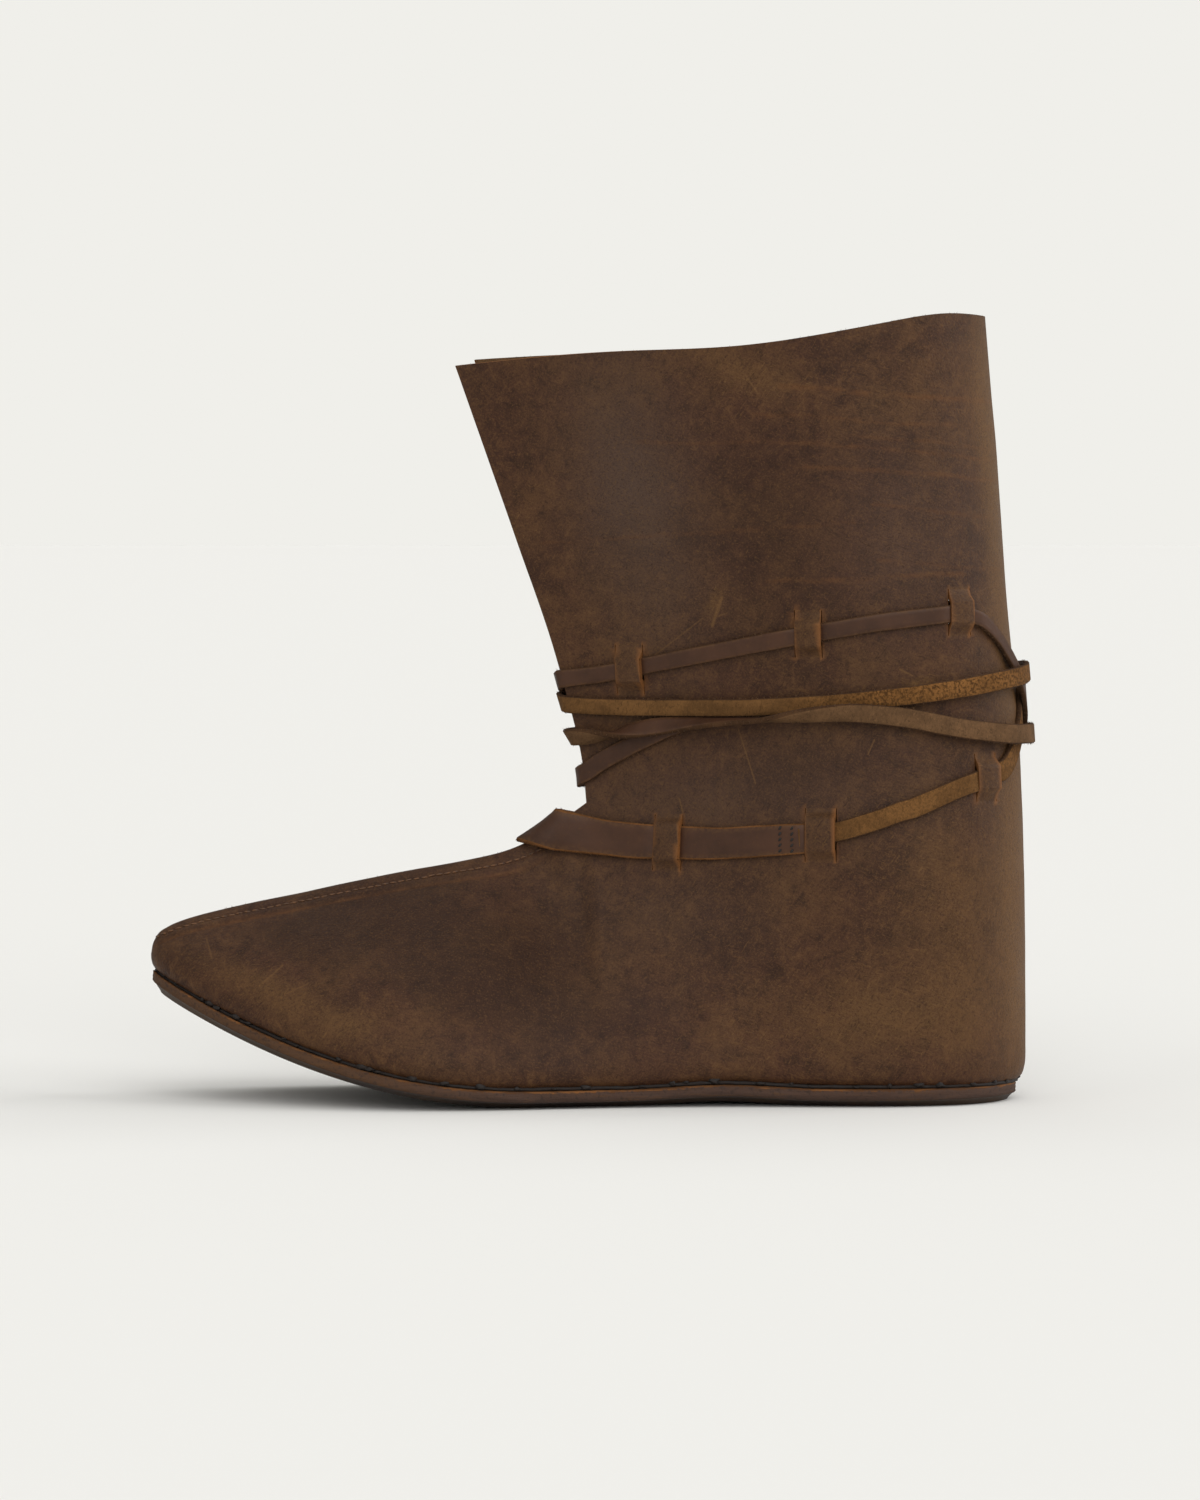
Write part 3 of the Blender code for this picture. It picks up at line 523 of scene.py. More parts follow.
def foot_point(girth, rise):
    """Outer face of the foot from the feather edge, rise 0, to the crest or ankle, rise 1."""
    top, top_way = foot_top(girth)
    edge = outline(girth)
    foot = edge.to_3d()
    foot.z = feather_z(inset_outline(girth, TURN_IN).x)
    pull = (top - foot).length
    a, b = rise, 1 - rise
    place = foot * (b * b * (1 + 2 * a)) + top * (a * a * (1 + 2 * b))
    place += Vector((0, 0, pull)) * (a * b * b) - top_way * (pull * a * a * b)
    turn_rise = min(TURN_RISE, 0.45 * (top.z - foot.z))
    short = min(1.0, max(0.0, 1 - (place.z - foot.z) / turn_rise))
    inset = TURN_IN * (1 - math.sqrt(1 - short**2))
    place.y += flap_shift(girth, rise)
    return place + (inset_outline(girth, inset) - edge).to_3d()


class Rings:
    """Level rings round the boot's outer face, each in even steps from its front, once round."""

    LOWEST = 62.0
    HIGHEST = 186.0
    STEPS = 300
    # Columns that the rings are cut from: first share on the vamp, lowest rise and highest point
    FIRST_SHARE = 0.40
    FIRST_RISE = 0.35
    TOP_Z = 190.0

    def __init__(self):
        self.halves = [self.half_columns(False), self.half_columns(True)]
        heights = np.arange(self.LOWEST, self.HIGHEST)
        self.table = np.array([self.even_ring(z) for z in heights])

    def half_columns(self, inner):
        """Columns of one half from the vamp to the back, each as xs, ys and heights."""
        columns = []
        for share in np.linspace(self.FIRST_SHARE, 1.0, 61):
            girth = 2 - share if inner else share
            points = [foot_point(girth, rise) for rise in np.linspace(self.FIRST_RISE, 1, 30)]
            if share >= THROAT_SHARE:
                points += [shaft_point(girth, z) for z in np.linspace(ANKLE_Z + 2, self.TOP_Z, 40)]
            columns.append(np.array([tuple(point) for point in points]).T)
        return columns

    def half_ring(self, z, inner):
        """One half of the leather's section at this height, from its front to its back."""
        reached = [half for half in self.halves[inner] if half[2][-1] > z]
        points = [(np.interp(z, zs, xs), np.interp(z, zs, ys)) for xs, ys, zs in reached]
        if z < ANKLE_Z:
            xs, ys, zs = np.array([half[:, -1] for half in self.halves[inner]]).T
            last = int(np.argmax(zs > z)) + 1
            points.insert(0, (np.interp(z, zs[:last], xs[:last]), np.interp(z, zs[:last], ys[:last])))
        points = np.array(points)
        beside = points[:-1, 1]
        points[:-1, 1] = np.maximum(beside, BEAK) if inner else np.minimum(beside, -BEAK)
        return points

    def even_ring(self, z):
        """The section once round from the middle of its nose, in even steps."""
        outer = self.half_ring(z, False)
        inner = self.half_ring(z, True)[::-1]
        middle = (inner[-1] + outer[0]) / 2
        arm = (inner[-1] - outer[0]) / 2
        reach = NOSE_FLAT + (1 - NOSE_FLAT) * ease((NOSE_TO_Z - z) / (NOSE_TO_Z - NOSE_FROM_Z))
        ahead = np.array([-abs(arm[1]) * reach, 0.0])
        turns = np.linspace(0, math.pi, 17)
        nose = np.array([middle + arm * math.cos(a) + ahead * math.sin(a) for a in turns])
        closed = np.vstack([nose[8:-1], outer, inner[1:], nose[1:9]])
        lengths = np.linalg.norm(np.diff(closed, axis=0), axis=1)
        along = np.concatenate([[0], np.cumsum(lengths)])
        even = np.linspace(0, along[-1], self.STEPS + 1)
        return np.stack([np.interp(even, along, closed[:, k]) for k in (0, 1)], axis=1)

    def ring(self, z, lift):
        """The ring at this height, off the leather by the lift."""
        at = min(max(z - self.LOWEST, 0), len(self.table) - 1.001)
        below = int(at)
        flat = self.table[below] + (self.table[below + 1] - self.table[below]) * (at - below)
        ahead = np.roll(flat[:-1], -1, axis=0) - np.roll(flat[:-1], 1, axis=0)
        outwards = np.stack([ahead[:, 1], -ahead[:, 0]], axis=1)
        outwards /= np.linalg.norm(outwards, axis=1)[:, None]
        return flat + np.vstack([outwards, outwards[:1]]) * lift

    def share_of(self, row):
        """How far round its ring, 0 to 1, a row of a route lies."""
        if row.half == "front":
            return 0.0
        flat = self.ring(row.z, 0)
        back = int(np.argmax(flat[:, 0]))
        if row.half == "back":
            return back / self.STEPS
        steps = np.arange(self.STEPS + 1)
        if row.half == "outer":
            return np.interp(row.x, flat[: back + 1, 0], steps[: back + 1]) / self.STEPS
        return np.interp(row.x, flat[back:, 0][::-1], steps[back:][::-1]) / self.STEPS

    def point(self, share, z, lift):
        ring = self.ring(z, lift)
        at = (share % 1) * self.STEPS
        below = min(int(at), self.STEPS - 1)
        place = ring[below] + (ring[below + 1] - ring[below]) * (at - below)
        return Vector((place[0], place[1], z))

    def ways(self, share, z, lift, share_step, z_step):
        """Ways round the ring and up the leather at a place."""
        along = self.point(share + share_step, z, lift) - self.point(share - share_step, z, lift)
        up = self.point(share, z + z_step, lift) - self.point(share, z - z_step, lift)
        return along.normalized(), up

    def nearest(self, place, lift):
        """The point of the ring at this place's height that is nearest to it."""
        closed = self.ring(place.z, lift)
        starts = closed[:-1]
        spans = np.diff(closed, axis=0)
        towards = np.array(place.xy) - starts
        shares = np.clip((towards * spans).sum(1) / (spans * spans).sum(1), 0, 1)
        points = starts + spans * shares[:, None]
        best = np.argmin(np.linalg.norm(points - np.array(place.xy), axis=1))
        return Vector((points[best][0], points[best][1], place.z))


@lru_cache(maxsize=None)
def rings():
    return Rings()


@lru_cache(maxsize=None)
def loop_frame(loop, half):
    """Axes at the middle of a belt loop: along the lace, up the leather, and outwards."""
    x = loop.x + (INNER_LOOP_SHIFT if half == "inner" else 0)
    share = rings().share_of(Route(half, x, loop.z, 0.0))
    along, up = rings().ways(share, loop.z, 0, 0.006, 3)
    outwards = along.cross(up).normalized()
    axes = Matrix((along, outwards.cross(along), outwards)).transposed().to_4x4()
    return Matrix.Translation(rings().point(share, loop.z, 0)) @ axes


class Finish:
    """A material whose nodes are added one by one."""

    def __init__(self, name):
        self.material = bpy.data.materials.new(name)
        self.material.use_nodes = True
        self.tree = self.material.node_tree
        self.shader = self.tree.nodes["Principled BSDF"]
        self.place = self.node("ShaderNodeTexCoord").outputs["Object"]

    def node(self, kind, inputs=None, **settings):
        made = self.tree.nodes.new(kind)
        for name, value in settings.items():
            setattr(made, name, value)
        for name, value in (inputs or {}).items():
            self.put(made.inputs[name], value)
        return made

    def put(self, socket, value):
        if isinstance(value, bpy.types.NodeSocket):
            self.tree.links.new(value, socket)
        else:
            socket.default_value = value

    def stretched(self, lengths, turn=(0, 0, 0)):
        """Places in a turned pattern whose marks have these lengths in millimetres."""
        sizes = [length * MM for length in lengths]
        settings = {"Vector": self.place, "Scale": sizes, "Rotation": turn}
        return self.node("ShaderNodeMapping", settings, vector_type="TEXTURE").outputs["Vector"]

    def noise(self, scale, detail=3, rough=0.55, place=None, bend=0.0):
        settings = {
            "Vector": place or self.place,
            "Scale": scale,
            "Detail": detail,
            "Roughness": rough,
            "Distortion": bend,
        }
        return self.node("ShaderNodeTexNoise", settings).outputs["Fac"]

    def cells(self, scale, place=None):
        settings = {"Vector": place or self.place, "Scale": scale}
        return self.node("ShaderNodeTexVoronoi", settings).outputs["Distance"]

    def attribute(self, name):
        return self.node("ShaderNodeAttribute", attribute_name=name).outputs["Fac"]

    def span(self, value, low, high, to_low=0.0, to_high=1.0):
        settings = {"Value": value, "From Min": low, "From Max": high}
        settings.update({"To Min": to_low, "To Max": to_high})
        return self.node("ShaderNodeMapRange", settings, interpolation_type="SMOOTHSTEP").outputs[0]

    def math(self, operation, one, two=0.0):
        """Arithmetic on two values; a product is kept between 0 and 1."""
        made = self.node("ShaderNodeMath", operation=operation, use_clamp=operation == "MULTIPLY")
        self.put(made.inputs[0], one)
        self.put(made.inputs[1], two)
        return made.outputs[0]

    def vector(self, operation, *values, result="Vector"):
        made = self.node("ShaderNodeVectorMath", operation=operation)
        for socket, value in zip(made.inputs, values):
            self.put(socket, value)
        return made.outputs[result]

    def mix(self, share, one, two):
        made = self.node("ShaderNodeMix", data_type="RGBA")
        for name, value in (("Factor_Float", share), ("A_Color", one), ("B_Color", two)):
            socket = next(s for s in made.inputs if s.identifier == name)
            self.put(socket, value)
        return next(s for s in made.outputs if s.identifier == "Result_Color")

    def axis(self, name):
        split = self.node("ShaderNodeSeparateXYZ", {"Vector": self.place})
        return split.outputs[name]

    def wavy(self, scale, reach):
        """Places shifted a little, up to the reach in millimetres, so that lines run uneven."""
        settings = {"Vector": self.place, "Scale": scale, "Detail": 2}
        drift = self.node("ShaderNodeTexNoise", settings).outputs["Color"]
        centred = self.vector("SUBTRACT", drift, (0.5, 0.5, 0.5))
        return self.vector("MULTIPLY_ADD", centred, (reach * MM, reach * MM, reach * MM), self.place)

    def mark(self, mark, place):
        """A thin line on the outer half, strongest along its middle."""
        start = in_frame(Vector((mark.x1, 0, mark.z1)))
        span = in_frame(Vector((mark.x2, 0, mark.z2))) - start
        flat = self.vector("MULTIPLY", place, (1, 0, 1))
        towards = self.vector("SUBTRACT", flat, (start.x, 0, start.z))
        along = self.vector("DOT_PRODUCT", towards, span / span.length_squared, result="Value")
        within_ends = self.math("MULTIPLY", along, 1.0)
        nearest = self.vector("MULTIPLY", span, within_ends)
        away = self.vector("DISTANCE", towards, nearest, result="Value")
        line = self.span(away, mark.half_wide * MM, 0, 0, mark.strength)
        return self.math("MULTIPLY", line, self.span(self.axis("Y"), 0.5 * MM, 0))

    def marks(self, table, place):
        """All the lines of a table, the strongest at each place."""
        strongest = 0.0
        for mark in table:
            strongest = self.math("MAXIMUM", strongest, self.mark(mark, place))
        return strongest

    def done(self, colour, roughness, shine=0.5, heights=()):
        """The material, raised by pairs of a height field and its depth in millimetres."""
        sockets = self.shader.inputs
        self.put(sockets["Base Color"], colour)
        self.put(sockets["Roughness"], roughness)
        sockets["Specular IOR Level"].default_value = shine
        normal = None
        for height, depth in heights:
            settings = {"Height": height, "Distance": depth * MM, "Strength": 1.0}
            if normal:
                settings["Normal"] = normal
            normal = self.node("ShaderNodeBump", settings).outputs["Normal"]
        if normal:
            self.put(sockets["Normal"], normal)
        return self.material


def shade(colour, factor):
    return tuple(min(1.0, part * factor) for part in colour[:3]) + (1,)


def solid(colour):
    return tuple(colour[:3]) + (1,)


def upper_grain(name, settings):
    """Dark oiled leather: cloudy browns, golden rubs, fine pulled lines, scratches and a soft nap, with
    a painted highlight along the back edge, a painted sheen and painted shade in the furrows.
    """
    finish = Finish(name)
    leather, warm, rub_and_highlight = settings.leather, settings.warm_leather, settings.rub_and_highlight_leather
    tone = finish.attribute("tone")
    cloud = finish.noise(24, 5, 0.62)
    fine = finish.noise(620, 3, 0.65)
    speck = finish.noise(1500, 3, 0.7)
    nap = finish.noise(1, 4, 0.7, finish.stretched((1.1, 1.1, 2.6), (0, 0.9, 0)), 0.4)
    colour = finish.mix(finish.span(cloud, 0.3, 0.7), shade(leather, 0.78), shade(leather, 1.2))
    patches = finish.noise(34, 5, 0.65, finish.stretched((1000, 1000, 1000), (0.4, 0.2, 0.7)))
    colour = finish.mix(finish.span(patches, 0.40, 0.72, 0, 0.75), colour, solid(warm))
    # Darker patches where the tone is below 0
    oiled = finish.span(tone, -0.05, -0.9, 0, 0.7)
    colour = finish.mix(oiled, colour, shade(leather, 0.55))
    mottle = finish.noise(170, 8, 0.78, None, 0.5)
    colour = finish.mix(finish.span(mottle, 0.50, 0.34, 0, 0.75), colour, shade(leather, 0.45))
    pale = finish.span(mottle, 0.48, 0.70, 0, 0.7)
    pale = finish.math("MULTIPLY", pale, finish.span(tone, -0.8, 0.1, 0.3, 1.0))
    colour = finish.mix(pale, colour, shade(warm, 1.4))
    # Painted sheen: greyish patches where the lights glint off the upper
    sheen_share = finish.math("MULTIPLY", finish.attribute("sheen"), finish.span(cloud, 0.25, 0.7, 0.5, 1.0))
    colour = finish.mix(sheen_share, colour, solid(settings.sheen))
    grain = finish.span(nap, 0.3, 0.7, 0.35, 0.8)
    grain = finish.math("ADD", grain, finish.span(speck, 0.35, 0.65, 0.0, 0.3))
    # Golden rubs where the tone is above 0, which along the back edge is a painted highlight
    lighter_share = finish.math("MULTIPLY", finish.span(tone, 0.0, 1.0), grain)
    colour = finish.mix(lighter_share, colour, solid(rub_and_highlight))
    pulled = finish.marks(PULLS, finish.wavy(30, 4))
    broken = finish.noise(1, 3, 0.6, finish.stretched((9, 9, 3)))
    pulled = finish.math("MULTIPLY", pulled, finish.span(broken, 0.35, 0.6, 0.15, 1.0))
    colour = finish.mix(pulled, colour, shade(settings.raw_edge, 0.65))
    rising = finish.noise(1, 3, 0.6, finish.stretched((0.5, 0.5, 3.6), (0.1, 0.6, 0)), 0.9)
    level = finish.noise(1, 3, 0.6, finish.stretched((3.6, 0.5, 0.5), (0, 0.3, 0.1)), 0.9)
    hairs = finish.math("MAXIMUM", finish.span(rising, 0.58, 0.72), finish.span(level, 0.58, 0.72))
    # Paler hairs, most where the tone is high, so also in the painted highlight of the back edge
    pale_hairs = finish.math("MULTIPLY", hairs, finish.span(tone, -0.5, 0.7, 0.2, 0.9))
    colour = finish.mix(pale_hairs, colour, solid(rub_and_highlight))
    # Painted shade in the furrows between the hairs, the low places of their bump
    furrows = finish.span(finish.math("MINIMUM", rising, level), 0.42, 0.28, 0, 0.6)
    colour = finish.mix(furrows, colour, shade(leather, 0.45))
    colour = finish.mix(finish.marks(MARKS, finish.place), colour, shade(rub_and_highlight, 1.15))
    colour = finish.mix(finish.span(speck, 0.50, 0.72, 0, 0.55), colour, shade(rub_and_highlight, 0.8))
    colour = finish.mix(finish.span(speck, 0.48, 0.26, 0, 0.55), colour, shade(leather, 0.5))
    wear = finish.math("MULTIPLY", finish.attribute("wear"), 0.75)
    colour = finish.mix(wear, colour, solid(settings.raw_edge))
    heights = [(fine, 0.15), (finish.cells(820), 0.06), (speck, 0.09), (rising, 0.12), (level, 0.12)]
    return finish.done(colour, finish.span(cloud, 0.3, 0.75, 0.48, 0.62), 0.14, heights)


def flesh_side(name, colour, nap, golden=None):
    """The rough flesh side of leather: short tan fibres, golden towards the heel where this is given."""
    finish = Finish(name)
    cloud = finish.noise(90, 4, 0.65)
    fibre = finish.noise(1, 4, 0.7, finish.stretched((0.8, 0.8, 1.4), (0.3, 0.2, 0.4)), 1.2)
    # Painted shade in the hollows between the fibres, the low places of their bump
    hollows = finish.span(fibre, 0.5, 0.3, 0, 0.7)
    tips = finish.span(fibre, 0.55, 0.75, 0, 0.6)

    def fibrous(base):
        mixed = finish.mix(finish.span(cloud, 0.3, 0.7), shade(base, 0.7), shade(base, 1.2))
        mixed = finish.mix(hollows, mixed, shade(base, 0.38))
        return finish.mix(tips, mixed, shade(base, 1.7))

    mixed = fibrous(colour)
    if golden:
        clumps = finish.span(finish.noise(1050, 3, 0.6), 0.58, 0.36)
        suede = finish.mix(clumps, fibrous(golden), shade(golden, 0.36))
        heelwards = finish.span(finish.axis("X"), 0.055, 0.095)
        upwards = finish.span(finish.axis("Z"), 0.105, 0.125, 0.35, 1.0)
        mixed = finish.mix(finish.math("MULTIPLY", heelwards, upwards), mixed, suede)
    return finish.done(mixed, 0.95, 0.15, [(cloud, nap), (fibre, nap)])


def smooth_grain(name, colour, settings):
    """Smooth brown leather of the strap and the laces, lighter from rubbing at its edges."""
    finish = Finish(name)
    cloud = finish.noise(60, 4, 0.6)
    fine = finish.noise(900, 3, 0.6)
    mixed = finish.mix(finish.span(cloud, 0.3, 0.7), shade(colour, 0.75), shade(colour, 1.2))
    rim = finish.span(finish.attribute("rim"), 0.55, 1.0)
    lighter_share = finish.math("MULTIPLY", rim, finish.span(fine, 0.35, 0.6, 0, 0.35))
    mixed = finish.mix(lighter_share, mixed, shade(settings.rub_and_highlight_leather, 1.2))
    speck = finish.span(fine, 0.55, 0.75, 0, 0.35)
    mixed = finish.mix(speck, mixed, shade(settings.warm_leather, 1.1))
    roughness = finish.span(fine, 0.3, 0.7, 0.45, 0.6)
    return finish.done(mixed, roughness, 0.2, [(fine, 0.06), (cloud, 0.10)])


def sole_edge(name, settings):
    """Cut edge of the sole: pressed dark layers, reddish streaks and toe, and a raw tan upper margin."""
    finish = Finish(name)
    sole, warm, raw = settings.sole, settings.warm_leather, settings.raw_edge
    layer = finish.attribute("layer")
    streak = finish.noise(1, 4, 0.65, finish.stretched((16, 16, 1.4)), 0.4)
    fine = finish.noise(700, 3, 0.6)
    height = finish.math("ADD", layer, finish.span(streak, 0.2, 0.8, -0.22, 0.22))
    colour = finish.mix(finish.span(height, 0.1, 0.7), shade(sole, 0.8), shade(sole, 1.25))
    colour = finish.mix(finish.span(streak, 0.52, 0.68, 0, 0.6), colour, shade(warm, 0.95))
    toe = finish.span(finish.axis("X"), -0.02, -0.09, 0.0, 0.55)
    colour = finish.mix(toe, colour, shade(warm, 1.15))
    # Painted shade in the small pits of the edge, the low places of its bump
    pits = finish.span(fine, 0.5, 0.3, 0, 0.7)
    colour = finish.mix(pits, colour, shade(sole, 0.5))
    ragged = finish.math("ADD", layer, finish.span(fine, 0.2, 0.8, -0.10, 0.10))
    margin = finish.span(ragged, 0.84, 0.93)
    margin = finish.math("MULTIPLY", margin, finish.span(streak, 0.3, 0.55, 0.3, 1.0))
    tan = finish.mix(finish.span(streak, 0.45, 0.7), shade(raw, 0.35), shade(raw, 0.9))
    colour = finish.mix(margin, colour, tan)
    roughness = finish.span(fine, 0.3, 0.7, 0.7, 0.9)
    return finish.done(colour, roughness, 0.2, [(streak, 0.35), (fine, 0.2)])


def sole_ground(name, settings):
    """Underside of the sole: smooth leather with dusty patches, darkened partly for wear and partly as
    painted shade in the gap under its rounded edge.
    """
    finish = Finish(name)
    cloud = finish.noise(45, 5, 0.65)
    fine = finish.noise(500, 3, 0.6)
    patches = finish.span(cloud, 0.35, 0.65)
    # Both colours kept dark as painted shade under the sole's rounded edge
    colour = finish.mix(patches, shade(settings.sole, 0.45), shade(settings.flesh, 0.45))
    colour = finish.mix(finish.span(fine, 0.55, 0.75, 0, 0.6), colour, shade(settings.raw_edge, 0.4))
    roughness = finish.span(cloud, 0.3, 0.7, 0.6, 0.85)
    return finish.done(colour, roughness, heights=[(cloud, 0.2), (fine, 0.1)])


def thread(name, colour, rough):
    """Twisted thread, with painted shade between its strands."""
    finish = Finish(name)
    strand = finish.noise(1, 2, 0.5, finish.stretched((1, 1, 1), (0.5, 0.6, 0.2)))
    mixed = finish.mix(finish.span(strand, 0.35, 0.65), shade(colour, 0.5), shade(colour, 1.3))
    roughness = finish.span(strand, 0.3, 0.7, rough, rough + 0.2)
    return finish.done(mixed, roughness, heights=[(strand, 0.1)])


def studio_floor(name, settings):
    """Plain pale floor."""
    finish = Finish(name)
    grain = finish.noise(300, 2)
    colour = finish.mix(grain, shade(settings.floor, 0.998), shade(settings.floor, 1.002))
    return finish.done(colour, 0.9, 0.0)


def material(name, make, *details):
    """The material of this name, made where it is first asked for."""
    return bpy.data.materials.get(name) or make(name, *details)


def raw_edge(settings):
    return material("raw_edge", flesh_side, settings.raw_edge, 0.15)


def inside(settings):
    return material("upper_inside", flesh_side, settings.flesh, 0.25)


def add_grid(bm, columns, rows, place, slot_of=None):
    """A sheet of the given columns and rows, each corner put where place says; returns its corners."""
    made = bmesh.ops.create_grid(bm, x_segments=len(columns) - 1, y_segments=len(rows) - 1, size=0.5)
    verts = made["verts"]
    if slot_of:
        for face in {face for vertex in verts for face in vertex.link_faces}:
            middle = face.calc_center_median()
            i = int((middle.x + 0.5) * (len(columns) - 1))
            j = int((middle.y + 0.5) * (len(rows) - 1))
            face.material_index = slot_of(i, j)
    for vertex in verts:
        i = round((vertex.co.x + 0.5) * (len(columns) - 1))
        j = round((vertex.co.y + 0.5) * (len(rows) - 1))
        vertex.co = place(columns[i], rows[j])
    return verts


def weld(bm):
    """Joins the sheets of a mesh where they meet, and turns its faces outwards."""
    bmesh.ops.remove_doubles(bm, verts=bm.verts, dist=1e-3)
    bmesh.ops.dissolve_degenerate(bm, edges=bm.edges, dist=1e-4)
    bmesh.ops.recalc_face_normals(bm, faces=bm.faces)


def new_object(name, data):
    made = bpy.data.objects.new(name, data)
    bpy.context.scene.collection.objects.link(made)
    return made


def mesh_object(name, bm, materials):
    mesh = bpy.data.meshes.new(name)
    bm.to_mesh(mesh)
    bm.free()
    for finish in materials:
        mesh.materials.append(finish)
    return new_object(name, mesh)


def new_piece(name, bm, materials, slot, *replaced):
    """A finished piece of the boot from a mesh in millimetres, riding on the boot's body."""
    for vertex in bm.verts:
        vertex.co = in_frame(vertex.co)
    piece = mesh_object(name, bm, materials)
    piece.data.shade_smooth()
    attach(piece, BODY)
    if replaced:
        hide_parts(*replaced)
    return piece


def thicken(piece, thickness, inner_slot, rim_slot):
    """Gives a sheet its thickness inwards, with materials for its inner face and its cut edges."""
    wall = piece.modifiers.new("wall", "SOLIDIFY")
    wall.thickness = thickness
    wall.offset = -1
    wall.use_even_offset = True
    wall.material_offset = inner_slot
    wall.material_offset_rim = rim_slot


def soften_edges(piece, width):
    edges = piece.modifiers.new("edges", "BEVEL")
    edges.width = width
    edges.segments = 2
    edges.limit_method = "ANGLE"
    edges.angle_limit = math.radians(50)
    edges.harden_normals = True


def upper_columns():
    """Girth coordinates of the upper's columns, once round from toe to toe."""
    vamp_count = 84
    vamp = [THROAT_SHARE * (k / vamp_count) ** 1.1 for k in range(vamp_count)]
    shaft = np.linspace(THROAT_SHARE, 1.0, 79)
    outer = [float(share) for share in vamp + list(shaft)]
    return outer + [2 - share for share in reversed(outer[:-1])]


def seam_relief(depth):
    """Height of the vamp's seam allowance at a distance down from its crest."""
    ridge = 0.45 * (1 - ease((depth - 6.4) / 2.0))
    row = 0.40 * math.exp(-(((depth - STITCH_DEPTH) / 0.6) ** 2))
    closing = 0.35 * math.exp(-((depth / 0.7) ** 2))
    crease = 0.25 * math.exp(-(((depth - 8.4) / 0.8) ** 2))
    return ridge - row - closing - crease


def fold_relief(place):
    """How far the soft folds move the leather outwards."""
    total = 0.0
    for fold in FOLDS:
        start = Vector((fold.x1, fold.z1))
        span = Vector((fold.x2, fold.z2)) - start
        towards = Vector((place.x, place.z)) - start
        share = min(1.0, max(0.0, towards.dot(span) / span.length_squared))
        away = (towards - span * share).length / fold.half_wide
        if away < 2.5:
            ends = 0.4 + 0.6 * math.sin(math.pi * min(max(share, 0.05), 0.95))
            total -= fold.depth * ends * math.exp(-away * away)
    return total


def leather_tone(place, table):
    """Strength of a table's tones at a place: above 0 for golden rubs, painted highlight and painted
    sheen, below 0 for darker patches.
    """
    total = 0.0
    for tone in table:
        lean = math.radians(tone.lean_deg)
        along = (place.x - tone.x) * math.cos(lean) + (place.z - tone.z) * math.sin(lean)
        across = (place.z - tone.z) * math.cos(lean) - (place.x - tone.x) * math.sin(lean)
        away = (along / tone.half_long) ** 2 + (across / tone.half_wide) ** 2
        if away < 6:
            total += tone.strength * math.exp(-away)
    return total


def cut_loop(bm, loop, half):
    """Two slits through the sheet, and the band between them raised, most on its heel side."""
    axes = loop_frame(loop, half)
    back = axes.inverted()
    turn = axes.to_3x3()
    edge = loop.band / 2
    outer_edge = edge + SLIT_WIDE
    tip = loop.slit / 2

    def near(here, margin):
        beside = abs(here.x) < outer_edge + margin and abs(here.y) < tip + margin
        return beside and abs(here.z) < LOOP_REACH

    faces = [face for face in bm.faces if near(back @ face.calc_center_median(), CUT_MARGIN)]
    lines = dict.fromkeys(line for face in faces for line in face.edges)
    corners = dict.fromkeys(corner for face in faces for corner in face.verts)
    geometry = [*faces, *lines, *corners]
    cuts = [(Vector((1, 0, 0)), at) for at in (-outer_edge, -edge, edge, outer_edge)]
    cuts += [(Vector((0, 1, 0)), at) for at in (-tip, -loop.hold, loop.hold, tip)]
    for axis, at in cuts:
        made = bmesh.ops.bisect_plane(
            bm, geom=geometry, dist=1e-3, plane_co=axes @ (axis * at), plane_no=turn @ axis
        )
        geometry = made["geom"]
    gone = []
    for face in geometry:
        if isinstance(face, bmesh.types.BMFace):
            here = back @ face.calc_center_median()
            if abs(here.x) > edge and near(here, 0):
                gone.append(face)
    bmesh.ops.delete(bm, geom=gone, context="FACES")
    wear = bm.verts.layers.float["wear"]
    tone = bm.verts.layers.float["tone"]
    for vertex in bm.verts:
        here = back @ vertex.co
        if not near(here, WEAR_MARGIN):
            continue
        if abs(here.x) < edge + 1e-2 and abs(here.y) < tip + 1e-2:
            side = here.x / edge * (1 if half == "outer" else -1)
            crown = 1 - 0.12 * side**2 + 0.28 * side
            hug = loop.hold + LOOP_RAMP
            rise = loop.rise * crown * ease((hug - abs(here.y)) / LOOP_RAMP)
            vertex.co += turn @ Vector((0, 0, rise))
            vertex[tone] = max(vertex[tone], 0.3)
            if abs(here.x) > edge - 0.1:
                vertex[wear] = max(vertex[wear], 0.75 + 0.25 * side)
        from_cut = abs(abs(here.x) - edge - SLIT_WIDE / 2) - SLIT_WIDE / 2
        if abs(here.y) < tip + 0.6 and from_cut < 0.15:
            vertex[wear] = max(vertex[wear], 0.45)


